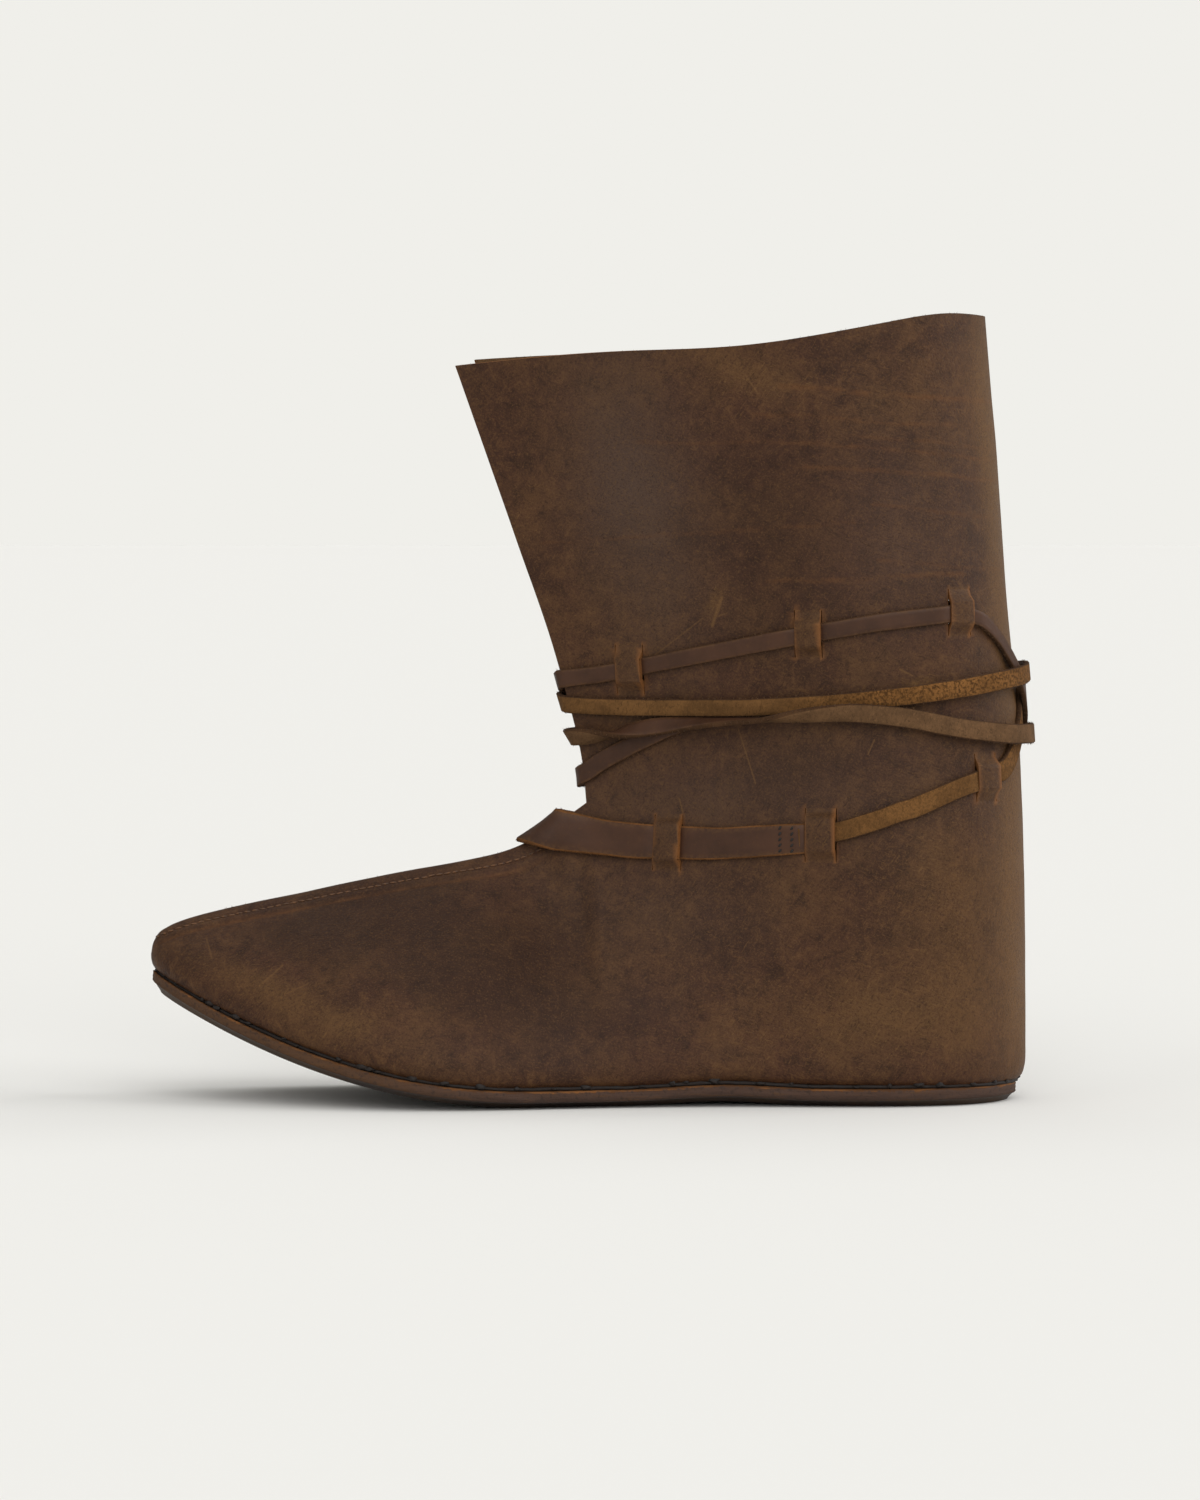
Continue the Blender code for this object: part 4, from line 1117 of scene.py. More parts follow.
def make_upper(settings):
    """The upper: foot and shaft as one sheet with seam, folds and belt loops, then thickened inwards."""
    girths = upper_columns()
    shaft_girths = [g for g in girths if THROAT_SHARE - 1e-9 <= g <= 2 - THROAT_SHARE + 1e-9]
    rises = list(np.linspace(0, 0.12, 11)) + list(np.linspace(0.12, 0.86, 37))[1:]
    rises += list(np.linspace(0.86, 1, 19))[1:]
    heights = np.linspace(0, 1, 80)

    def shaft_place(girth, height):
        return shaft_point(girth, ANKLE_Z + (collar_z(girth) - ANKLE_Z) * height)

    bm = bmesh.new()
    relief = bm.verts.layers.float.new("relief")
    tone = bm.verts.layers.float.new("tone")
    wear = bm.verts.layers.float.new("wear")
    sheen = bm.verts.layers.float.new("sheen")
    foot = add_grid(bm, girths, rises, foot_point)
    for i, girth in enumerate(girths):
        fade = 1 - ease((half_share(girth) - NOTCH_SHARE + 0.02) / 0.03)
        fade *= 0.15 + 0.85 * ease(half_share(girth) / 0.07)
        from_crest = foot[i :: len(girths)][::-1]
        depth = 0.0
        above = from_crest[0]
        for vertex in from_crest:
            depth += (vertex.co - above.co).length
            above = vertex
            if fade > 0 and depth < SEAM_WIDE:
                vertex[relief] = seam_relief(depth) * fade
                line = math.exp(-(((depth - 8.2) / 0.7) ** 2)) * 0.30
                vertex[wear] = line * fade * (0.7 + 0.6 * noise.noise(vertex.co * 0.25))
    add_grid(bm, shaft_girths, heights, shaft_place)
    weld(bm)
    bm.normal_update()
    for vertex in bm.verts:
        place = vertex.co.copy()
        # Folds and tones of the inner half lie a little elsewhere, so it is no mirror of the outer half
        shifted = Vector((place.x * 0.96 - 3, place.y, place.z * 1.02 - 4))
        mirrored = place.lerp(shifted, ease(place.y / 20))
        lumps = 0.35 * noise.noise(place * 0.022) + 0.16 * noise.noise(place * 0.07)
        shift = vertex[relief] + fold_relief(mirrored) + lumps
        vertex[tone] = leather_tone(mirrored, TONES)
        # Strength of the painted sheen
        vertex[sheen] = leather_tone(mirrored, SHEENS)
        vertex.co = place + vertex.normal * shift
    for half in ("outer", "inner"):
        for loop in LOOPS:
            cut_loop(bm, loop, half)
    bm.verts.layers.float.remove(bm.verts.layers.float["relief"])
    materials = [
        material("upper_grain", upper_grain, settings),
        inside(settings),
        raw_edge(settings),
    ]
    piece = new_piece("boot_upper", bm, materials, "oiled_leather", "upper")
    thicken(piece, settings.wall, 1, 2)
    soften_edges(piece, EDGE_ROUND * MM)


# Edges of the sole and the insole from the top down: inset, drop below the top, and material slot
EDGE_TALL = 4.0
Step = namedtuple("Step", "inset drop slot")
SOLE_STEPS = [
    Step(5.0, 0.0, 0),
    Step(1.4, 0.0, 0),
    Step(0.30, 0.0, 1),
    Step(0.10, 0.15, 1),
    Step(0.02, 0.6, 1),
    Step(0.10, 1.2, 1),
    Step(0.0, 1.8, 1),
    Step(0.08, 2.5, 1),
    Step(0.06, 3.1, 1),
    Step(0.35, 3.5, 1),
    Step(1.2, 3.7, 2),
    Step(4.5, 4.1, 2),
    Step(7.5, 5.1, 2),
    Step(9.0, 5.9, 2),
]
INSOLE_STEPS = [
    Step(2.5, 0.0, 0),
    Step(0.5, 0.0, 0),
    Step(0.0, 0.5, 0),
    Step(0.0, 1.5, 0),
    Step(0.5, 2.0, 0),
    Step(2.5, 2.0, 0),
]


def bent_plate(steps, inset_of, top, ragged):
    """A closed plate bent like the sole: its stepped edge round an upper and a lower sheet."""
    shares = [(1 - math.cos(math.pi * k / 150)) / 2 for k in range(151)]
    girths = shares + [2 - share for share in reversed(shares[:-1])]
    thick = steps[-1].drop

    def step_inset(share, step):
        ends = 0.3 + 0.7 * math.sin(math.pi * share) if step.inset > 3 else 1.0
        return inset_of(share) + step.inset * ends

    def level(flat, drop):
        return Vector((flat.x, flat.y, sole_rise(flat.x) + top - drop))

    def edge_place(girth, step):
        inset = step_inset(half_share(girth), step)
        if 0.2 < step.drop < thick - 0.1:
            spot = outline(girth).to_3d() * 0.09
            spot.z = step.drop * 0.6
            inset += ragged * (0.35 * noise.noise(spot) + 0.15 * noise.noise(spot * 4))
        return level(inset_outline(girth, inset), step.drop)

    bm = bmesh.new()
    layer = bm.verts.layers.float.new("layer")
    verts = add_grid(bm, girths, steps, edge_place, lambda i, j: max(steps[j].slot, steps[j + 1].slot))
    for vertex in verts:
        drop = sole_rise(vertex.co.x) + top - vertex.co.z
        vertex[layer] = 1 - min(1.0, max(0.0, drop / EDGE_TALL))
    for step in (steps[0], steps[-1]):

        def sheet_place(share, across, step=step):
            inset = step_inset(share, step)
            flat = inset_outline(share, inset).lerp(inset_outline(2 - share, inset), across)
            return level(flat, step.drop)

        add_grid(bm, shares, list(np.linspace(0, 1, 15)), sheet_place, lambda i, j, step=step: step.slot)
    weld(bm)
    return bm


def make_sole(settings):
    """The outsole: an uneven cut edge, raw on top, with an underside that is worn and darkened as
    painted shade.
    """
    materials = [
        raw_edge(settings),
        material("sole_edge", sole_edge, settings),
        material("sole_ground", sole_ground, settings),
    ]
    bm = bent_plate(SOLE_STEPS, INSET_CURVES["inset"], SOLE_THICK, 1.0)
    new_piece("boot_sole", bm, materials, "sole_leather", "outsole")


def make_insole(settings):
    """The insole: a thin plate on the sole, flesh side all over."""
    top = SOLE_THICK + SEAT_GAP + INSOLE_THICK
    bm = bent_plate(INSOLE_STEPS, lambda share: INSOLE_INSET, top, 0.3)
    new_piece("boot_insole", bm, [inside(settings)], "flesh_side_leather", "insole")


def route_samples(route, way):
    """Places along a route a millimetre apart, as rows of share, height, lift, width and turn."""
    rows = []
    for row in route:
        share = rings().share_of(row)
        if rows:
            turns = (rows[-1][0] - share) * way
            share += way * math.ceil(turns - 1e-6)
        rows.append((share, row.z, row.lift, row.wide, row.turn))
    rows = np.array(rows)
    gaps = np.hypot(np.diff(rows[:, 0]) * GIRTH, np.diff(rows[:, 1]))
    along = np.concatenate([[0], np.cumsum(gaps)])
    fine = np.linspace(0, along[-1], int(along[-1]) + 1)
    dense = np.stack([np.interp(fine, along, rows[:, k]) for k in range(5)], axis=1)
    reach = 7
    window = np.hanning(2 * reach + 3)[1:-1]
    window /= window.sum()
    padded = np.vstack([np.repeat(dense[:1], reach, 0), dense, np.repeat(dense[-1:], reach, 0)])
    for k in range(1, 5):
        dense[:, k] = np.convolve(padded[:, k], window, "valid")
    return dense


def dip_under_loops(samples):
    """Lowers the band's middle where it runs through the slits of a belt loop."""
    for sample in samples:
        middle = rings().point(sample[0], sample[1], 0)
        for loop in LOOPS:
            for half in ("outer", "inner"):
                here = loop_frame(loop, half).inverted() @ middle
                if abs(here.y) < 6 and abs(here.x) < 9 and abs(here.z) < 6:
                    share = 1 - ease((abs(here.x) - loop.band / 2 + 0.4) / 2.4)
                    sample[2] -= sample[2] * share


# Outline of a band's section: across from -1 to 1, and through from -1 to 1
SECTION = [(-0.9, 1), (-0.45, 1), (0, 1), (0.45, 1), (0.9, 1), (0.98, 0.6), (1, 0), (0.98, -0.6)]
SECTION += [(-across, -through) for across, through in SECTION]
GRAIN_FACES = 4
EDGE_FACES = 8
FLESH_FACES = 12


def section_slot(i, j):
    """Grain on the outer face, flesh on the inner face, raw edges between."""
    if j < GRAIN_FACES:
        return 0
    if j < EDGE_FACES or j >= FLESH_FACES:
        return 2
    return 1


BandFrame = namedtuple("BandFrame", "middle across through bow")


def band_frames(route, way, thick, step):
    """Sections of a flat band along a route, each turned about the band's length."""
    samples = route_samples(route, way)
    dip_under_loops(samples)
    samples = np.vstack([samples[:-1:step], samples[-1:]])
    lay = rings()
    middles = [lay.point(*sample[:3]) for sample in samples]
    last = len(samples) - 1
    frames = []
    for k, sample in enumerate(samples):
        lift, wide, turn = sample[2:]
        ahead = (middles[min(k + 1, last)] - middles[max(k - 1, 0)]).normalized()
        rise = Vector((0, 0, 1.5))
        up = lay.nearest(middles[k] + rise, lift) - lay.nearest(middles[k] - rise, lift)
        outwards = ahead.cross(up).normalized() * way
        aside = outwards.cross(ahead).normalized() * way
        wide *= 1 + 0.06 * noise.noise(middles[k] * 0.09 + Vector((0, 0, k * 0.02)))
        angle = math.radians(turn)
        edges = [lay.nearest(middles[k] + aside * (side * wide / 2), lift) for side in (-1, 1)]
        bow = ((edges[0] + edges[1]) / 2 - middles[k]) * max(0.0, abs(math.cos(angle)) * 6 - 5)
        raised = outwards * (abs(math.sin(angle)) * wide * 0.36)
        across = aside * math.cos(angle) + outwards * math.sin(angle)
        through = outwards * math.cos(angle) - aside * math.sin(angle)
        frames.append(BandFrame(middles[k] + raised, across * (wide / 2), through * (thick / 2), bow))
    return frames


def band_mesh(frames):
    """A flat band through its sections, closed at both ends."""

    def place(k, j):
        here = frames[k]
        u, v = SECTION[j % len(SECTION)]
        return here.middle + here.across * u + here.through * v + here.bow * (u * u)

    bm = bmesh.new()
    rim = bm.verts.layers.float.new("rim")
    made = add_grid(bm, range(len(frames)), range(len(SECTION) + 1), place, section_slot)
    for k, vertex in enumerate(made):
        vertex[rim] = abs(SECTION[(k // len(frames)) % len(SECTION)][0])
    bmesh.ops.remove_doubles(bm, verts=bm.verts, dist=1e-4)
    bmesh.ops.holes_fill(bm, edges=[edge for edge in bm.edges if edge.is_boundary], sides=0)
    bmesh.ops.recalc_face_normals(bm, faces=bm.faces)
    return bm


@lru_cache(maxsize=None)
def strap_frames():
    return band_frames(STRAP_ROUTE, 1, bpy.context.scene.leather_boot.strap_thick / MM, 2)


@lru_cache(maxsize=None)
def lace_frames(half):
    thick = bpy.context.scene.leather_boot.lace_thick / MM
    if half == "outer":
        return band_frames(OUTER_ROUTE, 1, thick, 2)
    return band_frames(INNER_ROUTE, -1, thick, 2)


def make_strap(settings):
    """The instep strap: grain outside, flesh inside and tan cut edges."""
    materials = [
        material("strap_grain", smooth_grain, settings.strap, settings),
        inside(settings),
        material("strap_rim", flesh_side, settings.strap_rim, 0.15),
    ]
    bm = band_mesh(strap_frames())
    new_piece("instep_strap_leather", bm, materials, "oiled_leather", "instep_strap")


def make_laces(settings):
    """Both laces, each with a flesh side of its own."""
    grain = material("lace_grain", smooth_grain, settings.lace, settings)
    rim = material("lace_rim", flesh_side, settings.lace_rim, 0.2)
    golden = settings.golden_flesh
    sides = (("outer", settings.lace_flesh, golden), ("inner", settings.pale_flesh, None))
    for half, colour, suede in sides:
        flesh = material("flesh_" + half, flesh_side, colour, 0.4, suede)
        bm = band_mesh(lace_frames(half))
        new_piece("lace_" + half + "_leather", bm, [grain, flesh, rim], "lace_leather", "lace_" + half)


def add_stitch(bm, place, along, outwards, length, thick):
    """One stitch: a short rounded bead, sunk a little in the leather."""
    across = outwards.cross(along).normalized()
    axes = Matrix((along.normalized(), across, outwards)).transposed().to_4x4()
    shape = Matrix.Diagonal((length / 2, thick / 2, thick / 2, 1))
    turn = Matrix.Rotation(math.pi / 2, 4, "Y")
    matrix = Matrix.Translation(place) @ axes @ shape @ turn
    bmesh.ops.create_uvsphere(bm, u_segments=8, v_segments=6, radius=1, matrix=matrix)


def crest_place(girth, depth):
    """A place on the vamp at a distance down from its crest, and the way out of the leather there."""
    rise = 1.0
    place = foot_point(girth, rise)
    gone = 0.0
    while gone < depth:
        rise -= 0.004
        step = foot_point(girth, rise)
        gone += (step - place).length
        place = step
    up = (foot_point(girth, rise + 0.02) - place).normalized()
    ahead = (foot_point(girth + 0.004, rise) - foot_point(girth - 0.004, rise)).normalized()
    return place, ahead, up.cross(ahead).normalized()


def make_stitches(settings):
    """A row of stitches along each side of the vamp's crest."""
    chooser = random.Random(4)
    bm = bmesh.new()
    pitch = settings.stitch_pitch / MM
    small = 0.004
    for inner in (False, True):
        share = 0.012
        while share < NOTCH_SHARE - 0.006:
            girth = 2 - share if inner else share
            place, ahead, outwards = crest_place(girth, STITCH_DEPTH)
            if outwards.z < 0:
                outwards = -outwards
            lean = ahead + outwards.cross(ahead) * chooser.uniform(-0.12, 0.12)
            add_stitch(bm, place + outwards * 0.22, lean, outwards, pitch * 0.9, 0.62)
            after = crest_place(girth + (-small if inner else small), STITCH_DEPTH)[0]
            share += small * pitch / (after - place).length
    materials = [material("vamp_thread", thread, settings.thread, 0.55)]
    new_piece("vamp_stitches", bm, materials, "lace_leather")


# Knots of the sole's thread on the outer side, as x
KNOTS = (-125.0, -116.0, -73.4, -56.6, -34.4)


def make_sole_thread(settings):
    """The near-black waxed thread in the seam between upper and sole, with its lumps and ends; the
    continuous thread is also painted shade of the seam's gap.
    """
    chooser = random.Random(11)
    bm = bmesh.new()
    girths = np.linspace(0, 2, 721)

    def place(girth, turn):
        inset = TURN_IN + 0.35 + 0.35 * noise.noise(Vector((girth * 60, 1, turn)))
        flat = inset_outline(float(girth), inset)
        middle = Vector((flat.x, flat.y, sole_rise(flat.x) + SOLE_THICK + 0.7))
        inwards = (inset_outline(float(girth), inset + 1) - flat).to_3d()
        radius = 0.72 + 0.35 * noise.noise(Vector((girth * 160, 5, turn)))
        return middle + (inwards * math.cos(turn) + Vector((0, 0, 1)) * math.sin(turn)) * radius

    # A continuous near-black cord along the seam: waxed thread, and painted shade of the gap between
    # upper and sole
    add_grid(bm, list(girths), list(np.linspace(0, 2 * math.pi, 7)), place)
    weld(bm)

    def add_lump(girth, rise, size):
        flat = inset_outline(girth, TURN_IN - 0.5)
        middle = Vector((flat.x, flat.y, sole_rise(flat.x) + SOLE_THICK + rise))
        ahead = (outline(girth + 0.003) - outline(girth - 0.003)).to_3d().normalized()
        axes = Matrix((ahead, Vector((-ahead.y, ahead.x, 0)), Vector((0, 0, 1)))).transposed().to_4x4()
        matrix = Matrix.Translation(middle) @ axes @ Matrix.Diagonal(size.to_4d())
        lump = bmesh.ops.create_icosphere(bm, subdivisions=2, radius=1, matrix=matrix)
        for vertex in lump["verts"]:
            vertex.co += (vertex.co - middle) * (0.8 * noise.noise(vertex.co * 1.9))

    for k in range(64):
        girth = (k + chooser.uniform(0.1, 0.9)) / 32
        rise = chooser.uniform(0.6, 1.5)
        big = 1.5 if chooser.random() < 0.25 else 0.9
        half_sizes = [chooser.uniform(*sizes) for sizes in ((0.5, 1.5), (0.4, 0.7), (0.4, 0.7))]
        add_lump(girth, rise, Vector(half_sizes) * big)
    shares = np.linspace(0, 1, 401)
    for x in KNOTS:
        girth = float(np.interp(x, [outline(share).x for share in shares], shares))
        add_lump(girth, 1.2, Vector((1.8, 0.9, 1.1)))
    materials = [material("waxed_thread", thread, settings.waxed_thread, 0.7)]
    new_piece("sole_thread", bm, materials, "sole_leather")


# Rows of stitches at the strap's ends: their places as x, and the heights of the stitches
STRAP_ROWS = (63.0, 66.8)
STRAP_ROW_Z = np.linspace(82.0, 89.4, 5)


def make_strap_stitches(settings):
    """Two short rows of near-black stitches at each end of the strap: the thread, and painted shade of
    its stitch holes.
    """
    bm = bmesh.new()
    lift = STRAP_LIFT + 0.75
    for half in ("outer", "inner"):
        for x in STRAP_ROWS:
            for z in STRAP_ROW_Z:
                share = rings().share_of(Route(half, x, z, 0.0))
                along, up = rings().ways(share, z, lift, 0.004, 1)
                outwards = along.cross(up).normalized()
                place = rings().point(share, z, lift) + outwards * 0.15
                add_stitch(bm, place, up, outwards, 1.45, 0.8)
    materials = [material("strap_thread", thread, settings.strap_thread, 0.6)]
    new_piece("strap_stitches", bm, materials, "oiled_leather")


def add_fibre(bm, place, way, length, thick):
    """One short loose fibre: a thin tapered spike."""
    turn = way.to_track_quat("Z", "Y").to_matrix().to_4x4()
    matrix = Matrix.Translation(place + way * (length * 0.4)) @ turn
    bmesh.ops.create_cone(
        bm, cap_ends=True, segments=3, radius1=thick, radius2=thick * 0.15, depth=length, matrix=matrix
    )


class Fibres:
    """A mesh of loose fibres, grown in small tufts."""

    TUFT = 60

    def __init__(self, seed):
        self.chooser = random.Random(seed)
        self.bm = bmesh.new()
        self.tuft = bmesh.new()
        self.count = 0

    def strew(self, place, way, longest, thick):
        stray = Vector([self.chooser.uniform(-0.8, 0.8) for _ in "xyz"])
        length = longest * (0.3 + 0.7 * self.chooser.random() ** 2)
        add_fibre(self.tuft, place, (way + stray).normalized(), length, thick)
        self.count += 1
        if self.count % self.TUFT == 0:
            self.gather()

    def gather(self):
        mesh = bpy.data.meshes.new("tuft")
        self.tuft.to_mesh(mesh)
        self.bm.from_mesh(mesh)
        bpy.data.meshes.remove(mesh)
        self.tuft.clear()


# Loose fibres: how many along the collar, and tufts on the vamp's crest as girth and number
COLLAR_FIBRES = 420
CREST_TUFTS = ((0.125, 14), (0.30, 3), (0.44, 10))


def make_fibres(settings):
    """Loose fibres along the cut edges of collar, laces and strap, and tufts on the vamp's seam."""
    fibres = Fibres(23)
    chooser = fibres.chooser
    up = Vector((0, 0, 1))
    for _ in range(COLLAR_FIBRES):
        girth = chooser.uniform(THROAT_SHARE, 2 - THROAT_SHARE)
        place = shaft_point(girth, collar_z(girth) - 0.2)
        inwards = Vector((place.x - 60, place.y, 0)).normalized() * -chooser.uniform(0.1, 1.6)
        fibres.strew(place + inwards, up, 0.9, 0.10)
    bands = [(lace_frames("outer"), 7, 1.0), (lace_frames("inner"), 7, 1.0), (strap_frames(), 8, 0.7)]
    for frames, density, longest in bands:
        for _ in range(len(frames) * density):
            here = chooser.choice(frames)
            side = chooser.choice((-1, 1))
            rim = here.middle + here.across * side + here.bow
            place = rim + here.through * chooser.uniform(-0.7, 0.7)
            fibres.strew(place, here.across.normalized() * side, longest, 0.08)
    for share, count in CREST_TUFTS:
        for _ in range(count):
            fibres.strew(foot_point(share + chooser.gauss(0, 0.012), 1.0), up, 0.9, 0.07)
    fibres.gather()
    materials = [material("leather_fibre", thread, settings.fibre, 0.7)]
    new_piece("edge_fibres", fibres.bm, materials, "lace_leather")


def size_of(label, description, default):
    return FloatProperty(name=label, description=description, default=default, unit="LENGTH")


def colour_of(label, description, default):
    return FloatVectorProperty(
        name=label, description=description, default=default, subtype="COLOR", min=0, max=1
    )


class BootSettings(bpy.types.PropertyGroup):
    """Sizes and colours of the boot and its studio."""

    wall: size_of("Upper thickness", "Thickness of the upper's leather", 0.0019)
    strap_thick: size_of("Strap thickness", "Thickness of the instep strap", 0.0018)
    lace_thick: size_of("Lace thickness", "Thickness of the laces", 0.0017)
    stitch_pitch: size_of("Stitch pitch", "Spacing of the vamp stitches", 0.0026)
    leather: colour_of("Leather", "Oiled leather of the upper", (0.0460, 0.0190, 0.0100))
    warm_leather: colour_of("Warm patches", "Warmer patches of the upper", (0.0790, 0.0370, 0.0145))
    # Golden colour of rubs, which also paints the highlight along the back edge
    rub_and_highlight_leather: colour_of("Golden rubs", "Rubbed places of the upper", (0.1250, 0.0620, 0.0215))
    # Greyish colour of the painted sheen on the upper
    sheen: colour_of("Wax bloom", "Greyish bloom on the upper", (0.070, 0.043, 0.031))
    flesh: colour_of("Flesh side", "Inside of the upper", (0.1056, 0.0561, 0.0251))
    raw_edge: colour_of("Raw edges", "Cut edges of thick leather", (0.1980, 0.0792, 0.0238))
    strap: colour_of("Strap", "Grain side of the instep strap", (0.0502, 0.0211, 0.0106))
    strap_rim: colour_of("Strap edges", "Cut edges of the instep strap", (0.1386, 0.0581, 0.0191))
    lace: colour_of("Laces", "Grain side of the laces", (0.052, 0.0220, 0.0110))
    lace_flesh: colour_of("Lace flesh side", "Flesh side of the laces", (0.125, 0.060, 0.020))
    golden_flesh: colour_of("Golden flesh side", "Rubbed suede of the outer lace", (0.172, 0.076, 0.021))
    pale_flesh: colour_of("Paler flesh side", "Flesh side of the inner lace", (0.118, 0.062, 0.028))
    lace_rim: colour_of("Lace edges", "Cut edges of the laces", (0.0594, 0.0284, 0.0125))
    sole: colour_of("Sole edge", "Cut edge of the sole", (0.0515, 0.0284, 0.0198))
    thread: colour_of("Vamp thread", "Thread of the vamp's seam", (0.104, 0.0436, 0.0142))
    # Near black: waxed thread, and painted shade in the seam's gap
    waxed_thread: colour_of("Waxed thread", "Thread of the sole's seam", (0.012, 0.007, 0.005))
    # Near black: the thread, with painted shade of its stitch holes
    strap_thread: colour_of("Strap thread", "Thread at the strap's ends", (0.008, 0.004, 0.002))
    fibre: colour_of("Fibres", "Loose fibres of cut edges", (0.1056, 0.0495, 0.0172))
    floor: colour_of("Floor", "Studio floor", (0.822, 0.816, 0.794))
    backdrop: colour_of("Backdrop", "Backdrop behind the floor", (0.871, 0.863, 0.823))


class BOOT_OT_upper(bpy.types.Operator):
    """Make the upper with its belt loops"""

    bl_idname = "boot.upper"
    bl_label = "Upper"

    def execute(self, context):
        make_upper(context.scene.leather_boot)
        return {"FINISHED"}


class BOOT_OT_sole(bpy.types.Operator):
    """Make the sole, the insole and the waxed thread between sole and upper"""

    bl_idname = "boot.sole"
    bl_label = "Sole and insole"

    def execute(self, context):
        settings = context.scene.leather_boot
        make_sole(settings)
        make_insole(settings)
        make_sole_thread(settings)
        return {"FINISHED"}


class BOOT_OT_strap(bpy.types.Operator):
    """Make the instep strap and its stitches"""

    bl_idname = "boot.strap"
    bl_label = "Instep strap"

    def execute(self, context):
        settings = context.scene.leather_boot
        make_strap(settings)
        make_strap_stitches(settings)
        return {"FINISHED"}


class BOOT_OT_laces(bpy.types.Operator):
    """Make the two laces"""

    bl_idname = "boot.laces"
    bl_label = "Laces"

    def execute(self, context):
        make_laces(context.scene.leather_boot)
        return {"FINISHED"}


class BOOT_OT_stitches(bpy.types.Operator):
    """Make the stitches along the vamp's seam"""

    bl_idname = "boot.stitches"
    bl_label = "Vamp stitches"

    def execute(self, context):
        make_stitches(context.scene.leather_boot)
        return {"FINISHED"}


class BOOT_OT_fibres(bpy.types.Operator):
    """Make the loose fibres along the cut edges"""

    bl_idname = "boot.fibres"
    bl_label = "Loose fibres"

    def execute(self, context):
        make_fibres(context.scene.leather_boot)
        return {"FINISHED"}


class BOOT_OT_stage(bpy.types.Operator):
    """Make the floor, the soft lights and the camera"""

    bl_idname = "boot.stage"
    bl_label = "Studio"

    def execute(self, context):
        settings = context.scene.leather_boot
        make_floor(settings)
        make_lights(settings)
        make_camera()
        return {"FINISHED"}


# Stage: floor, lights and camera in metres and degrees, what the frame shows in the boot's millimetres
FLOOR_HALF = 40.0
Light = namedtuple("Light", "name azimuth elevation spread strength")
LIGHTS = [
    Light("key_light", 14.0, 32.0, 55.0, 1.6),
    Light("top_light", 180.0, 78.0, 60.0, 0.5),
    Light("right_light", 92.0, 26.0, 50.0, 1.5),
    Light("left_light", -50.0, 24.0, 50.0, 0.3),
]
LIGHT_AWAY = 2.0
SKY_STRENGTH = 0.45
CAMERA_AWAY = 2.0
CAMERA_HEIGHT = 0.1915
CAMERA_REACH = 100.0
FRAME_MIDDLE = Vector((4.0, 0.0, 113.5))
FRAME_TALL = 494.0


def make_floor(settings):
    """A wide plain floor at the height of the sole."""
    bm = bmesh.new()
    bmesh.ops.create_grid(bm, x_segments=2, y_segments=2, size=FLOOR_HALF)
    floor = mesh_object("studio_floor", bm, [material("studio_floor", studio_floor, settings)])


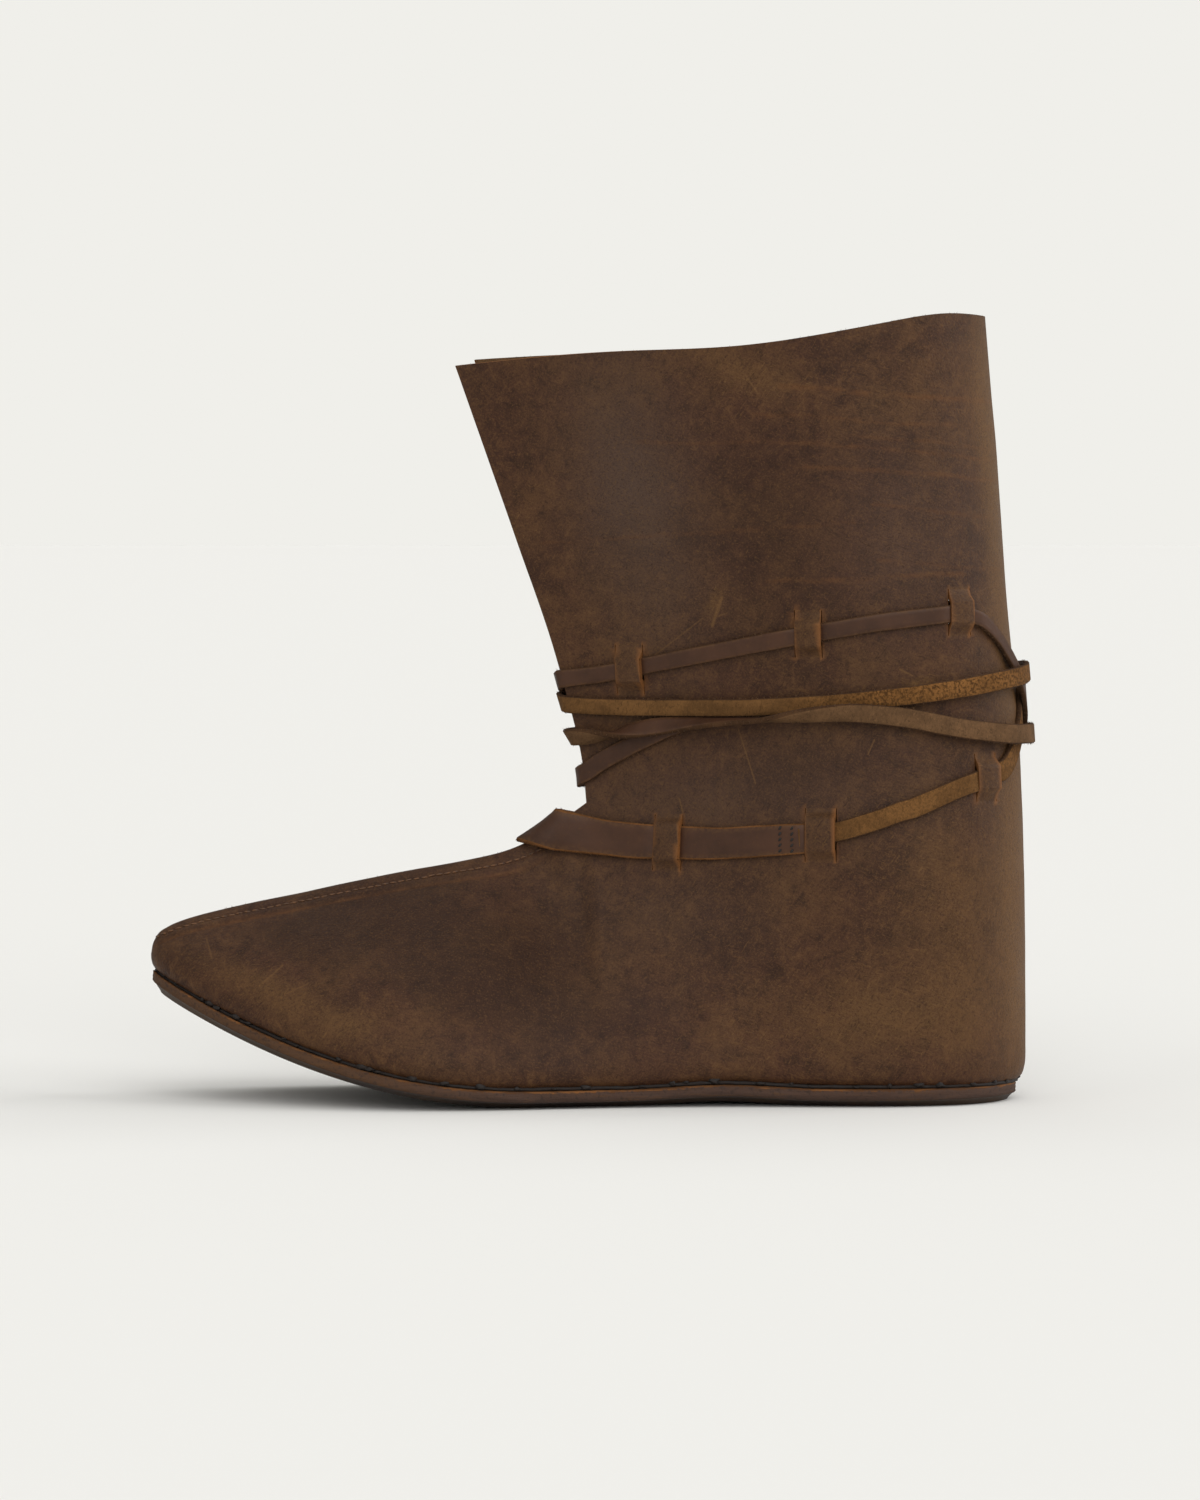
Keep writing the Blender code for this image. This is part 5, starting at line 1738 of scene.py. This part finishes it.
def make_lights(settings):
    """Soft lights from far away, so that the floor is lit evenly, and a plain pale backdrop."""
    for light in LIGHTS:
        lamp = bpy.data.lights.new(light.name, "SUN")
        lamp.energy = light.strength
        lamp.angle = math.radians(light.spread)
        made = new_object(light.name, lamp)
        turn = math.radians(light.azimuth)
        rise = math.radians(light.elevation)
        way = Vector((math.sin(turn) * math.cos(rise), -math.cos(turn) * math.cos(rise), math.sin(rise)))
        made.rotation_mode = "QUATERNION"
        made.rotation_quaternion = way.to_track_quat("Z", "Y")
        made.location = way * LIGHT_AWAY
    world = bpy.data.worlds.new("studio")
    bpy.context.scene.world = world
    world.use_nodes = True
    tree = world.node_tree
    sky = tree.nodes["Background"]
    sky.inputs["Color"].default_value = solid(settings.backdrop)
    sky.inputs["Strength"].default_value = SKY_STRENGTH
    shown = tree.nodes.new("ShaderNodeBackground")
    shown.inputs["Color"].default_value = solid(settings.backdrop)
    path = tree.nodes.new("ShaderNodeLightPath")
    choice = tree.nodes.new("ShaderNodeMixShader")
    tree.links.new(path.outputs["Is Camera Ray"], choice.inputs["Fac"])
    tree.links.new(sky.outputs["Background"], choice.inputs[1])
    tree.links.new(shown.outputs["Background"], choice.inputs[2])
    tree.links.new(choice.outputs["Shader"], tree.nodes["World Output"].inputs["Surface"])
    bpy.context.scene.view_settings.view_transform = "Standard"


def make_camera():
    """A long lens at the photo's height and angle, on the boot's outer side."""
    lens = bpy.data.cameras.new("camera")
    lens.sensor_fit = "AUTO"
    lens.angle = 2 * math.atan(FRAME_TALL * MM / 2 / CAMERA_AWAY)
    lens.clip_end = CAMERA_REACH
    made = new_object("camera", lens)
    aim = in_frame(FRAME_MIDDLE)
    made.location = Vector((aim.x, -CAMERA_AWAY, CAMERA_HEIGHT))
    made.rotation_mode = "QUATERNION"
    made.rotation_quaternion = (aim - made.location).to_track_quat("-Z", "Y")
    bpy.context.scene.camera = made


class BOOT_PT_panel(bpy.types.Panel):
    """Lists the boot's pieces, sizes and colours"""

    bl_idname = "BOOT_PT_panel"
    bl_label = "Leather boot"
    bl_space_type = "VIEW_3D"
    bl_region_type = "UI"
    bl_category = "Boot"

    def draw(self, context):
        for operator in OPERATORS:
            self.layout.operator(operator.bl_idname)
        for name in BootSettings.__annotations__:
            self.layout.prop(context.scene.leather_boot, name)


OPERATORS = (
    BOOT_OT_upper,
    BOOT_OT_sole,
    BOOT_OT_strap,
    BOOT_OT_laces,
    BOOT_OT_stitches,
    BOOT_OT_fibres,
    BOOT_OT_stage,
)
CLASSES = (BootSettings,) + OPERATORS + (BOOT_PT_panel,)


def register():
    for made in CLASSES:
        bpy.utils.register_class(made)
    bpy.types.Scene.leather_boot = PointerProperty(type=BootSettings)


def unregister():
    del bpy.types.Scene.leather_boot
    for made in reversed(CLASSES):
        bpy.utils.unregister_class(made)


def main():
    register()
    bpy.ops.boot.upper()
    bpy.ops.boot.sole()
    bpy.ops.boot.strap()
    bpy.ops.boot.laces()
    bpy.ops.boot.stitches()
    bpy.ops.boot.fibres()
    bpy.ops.boot.stage()


if __name__ == "__main__":
    main()
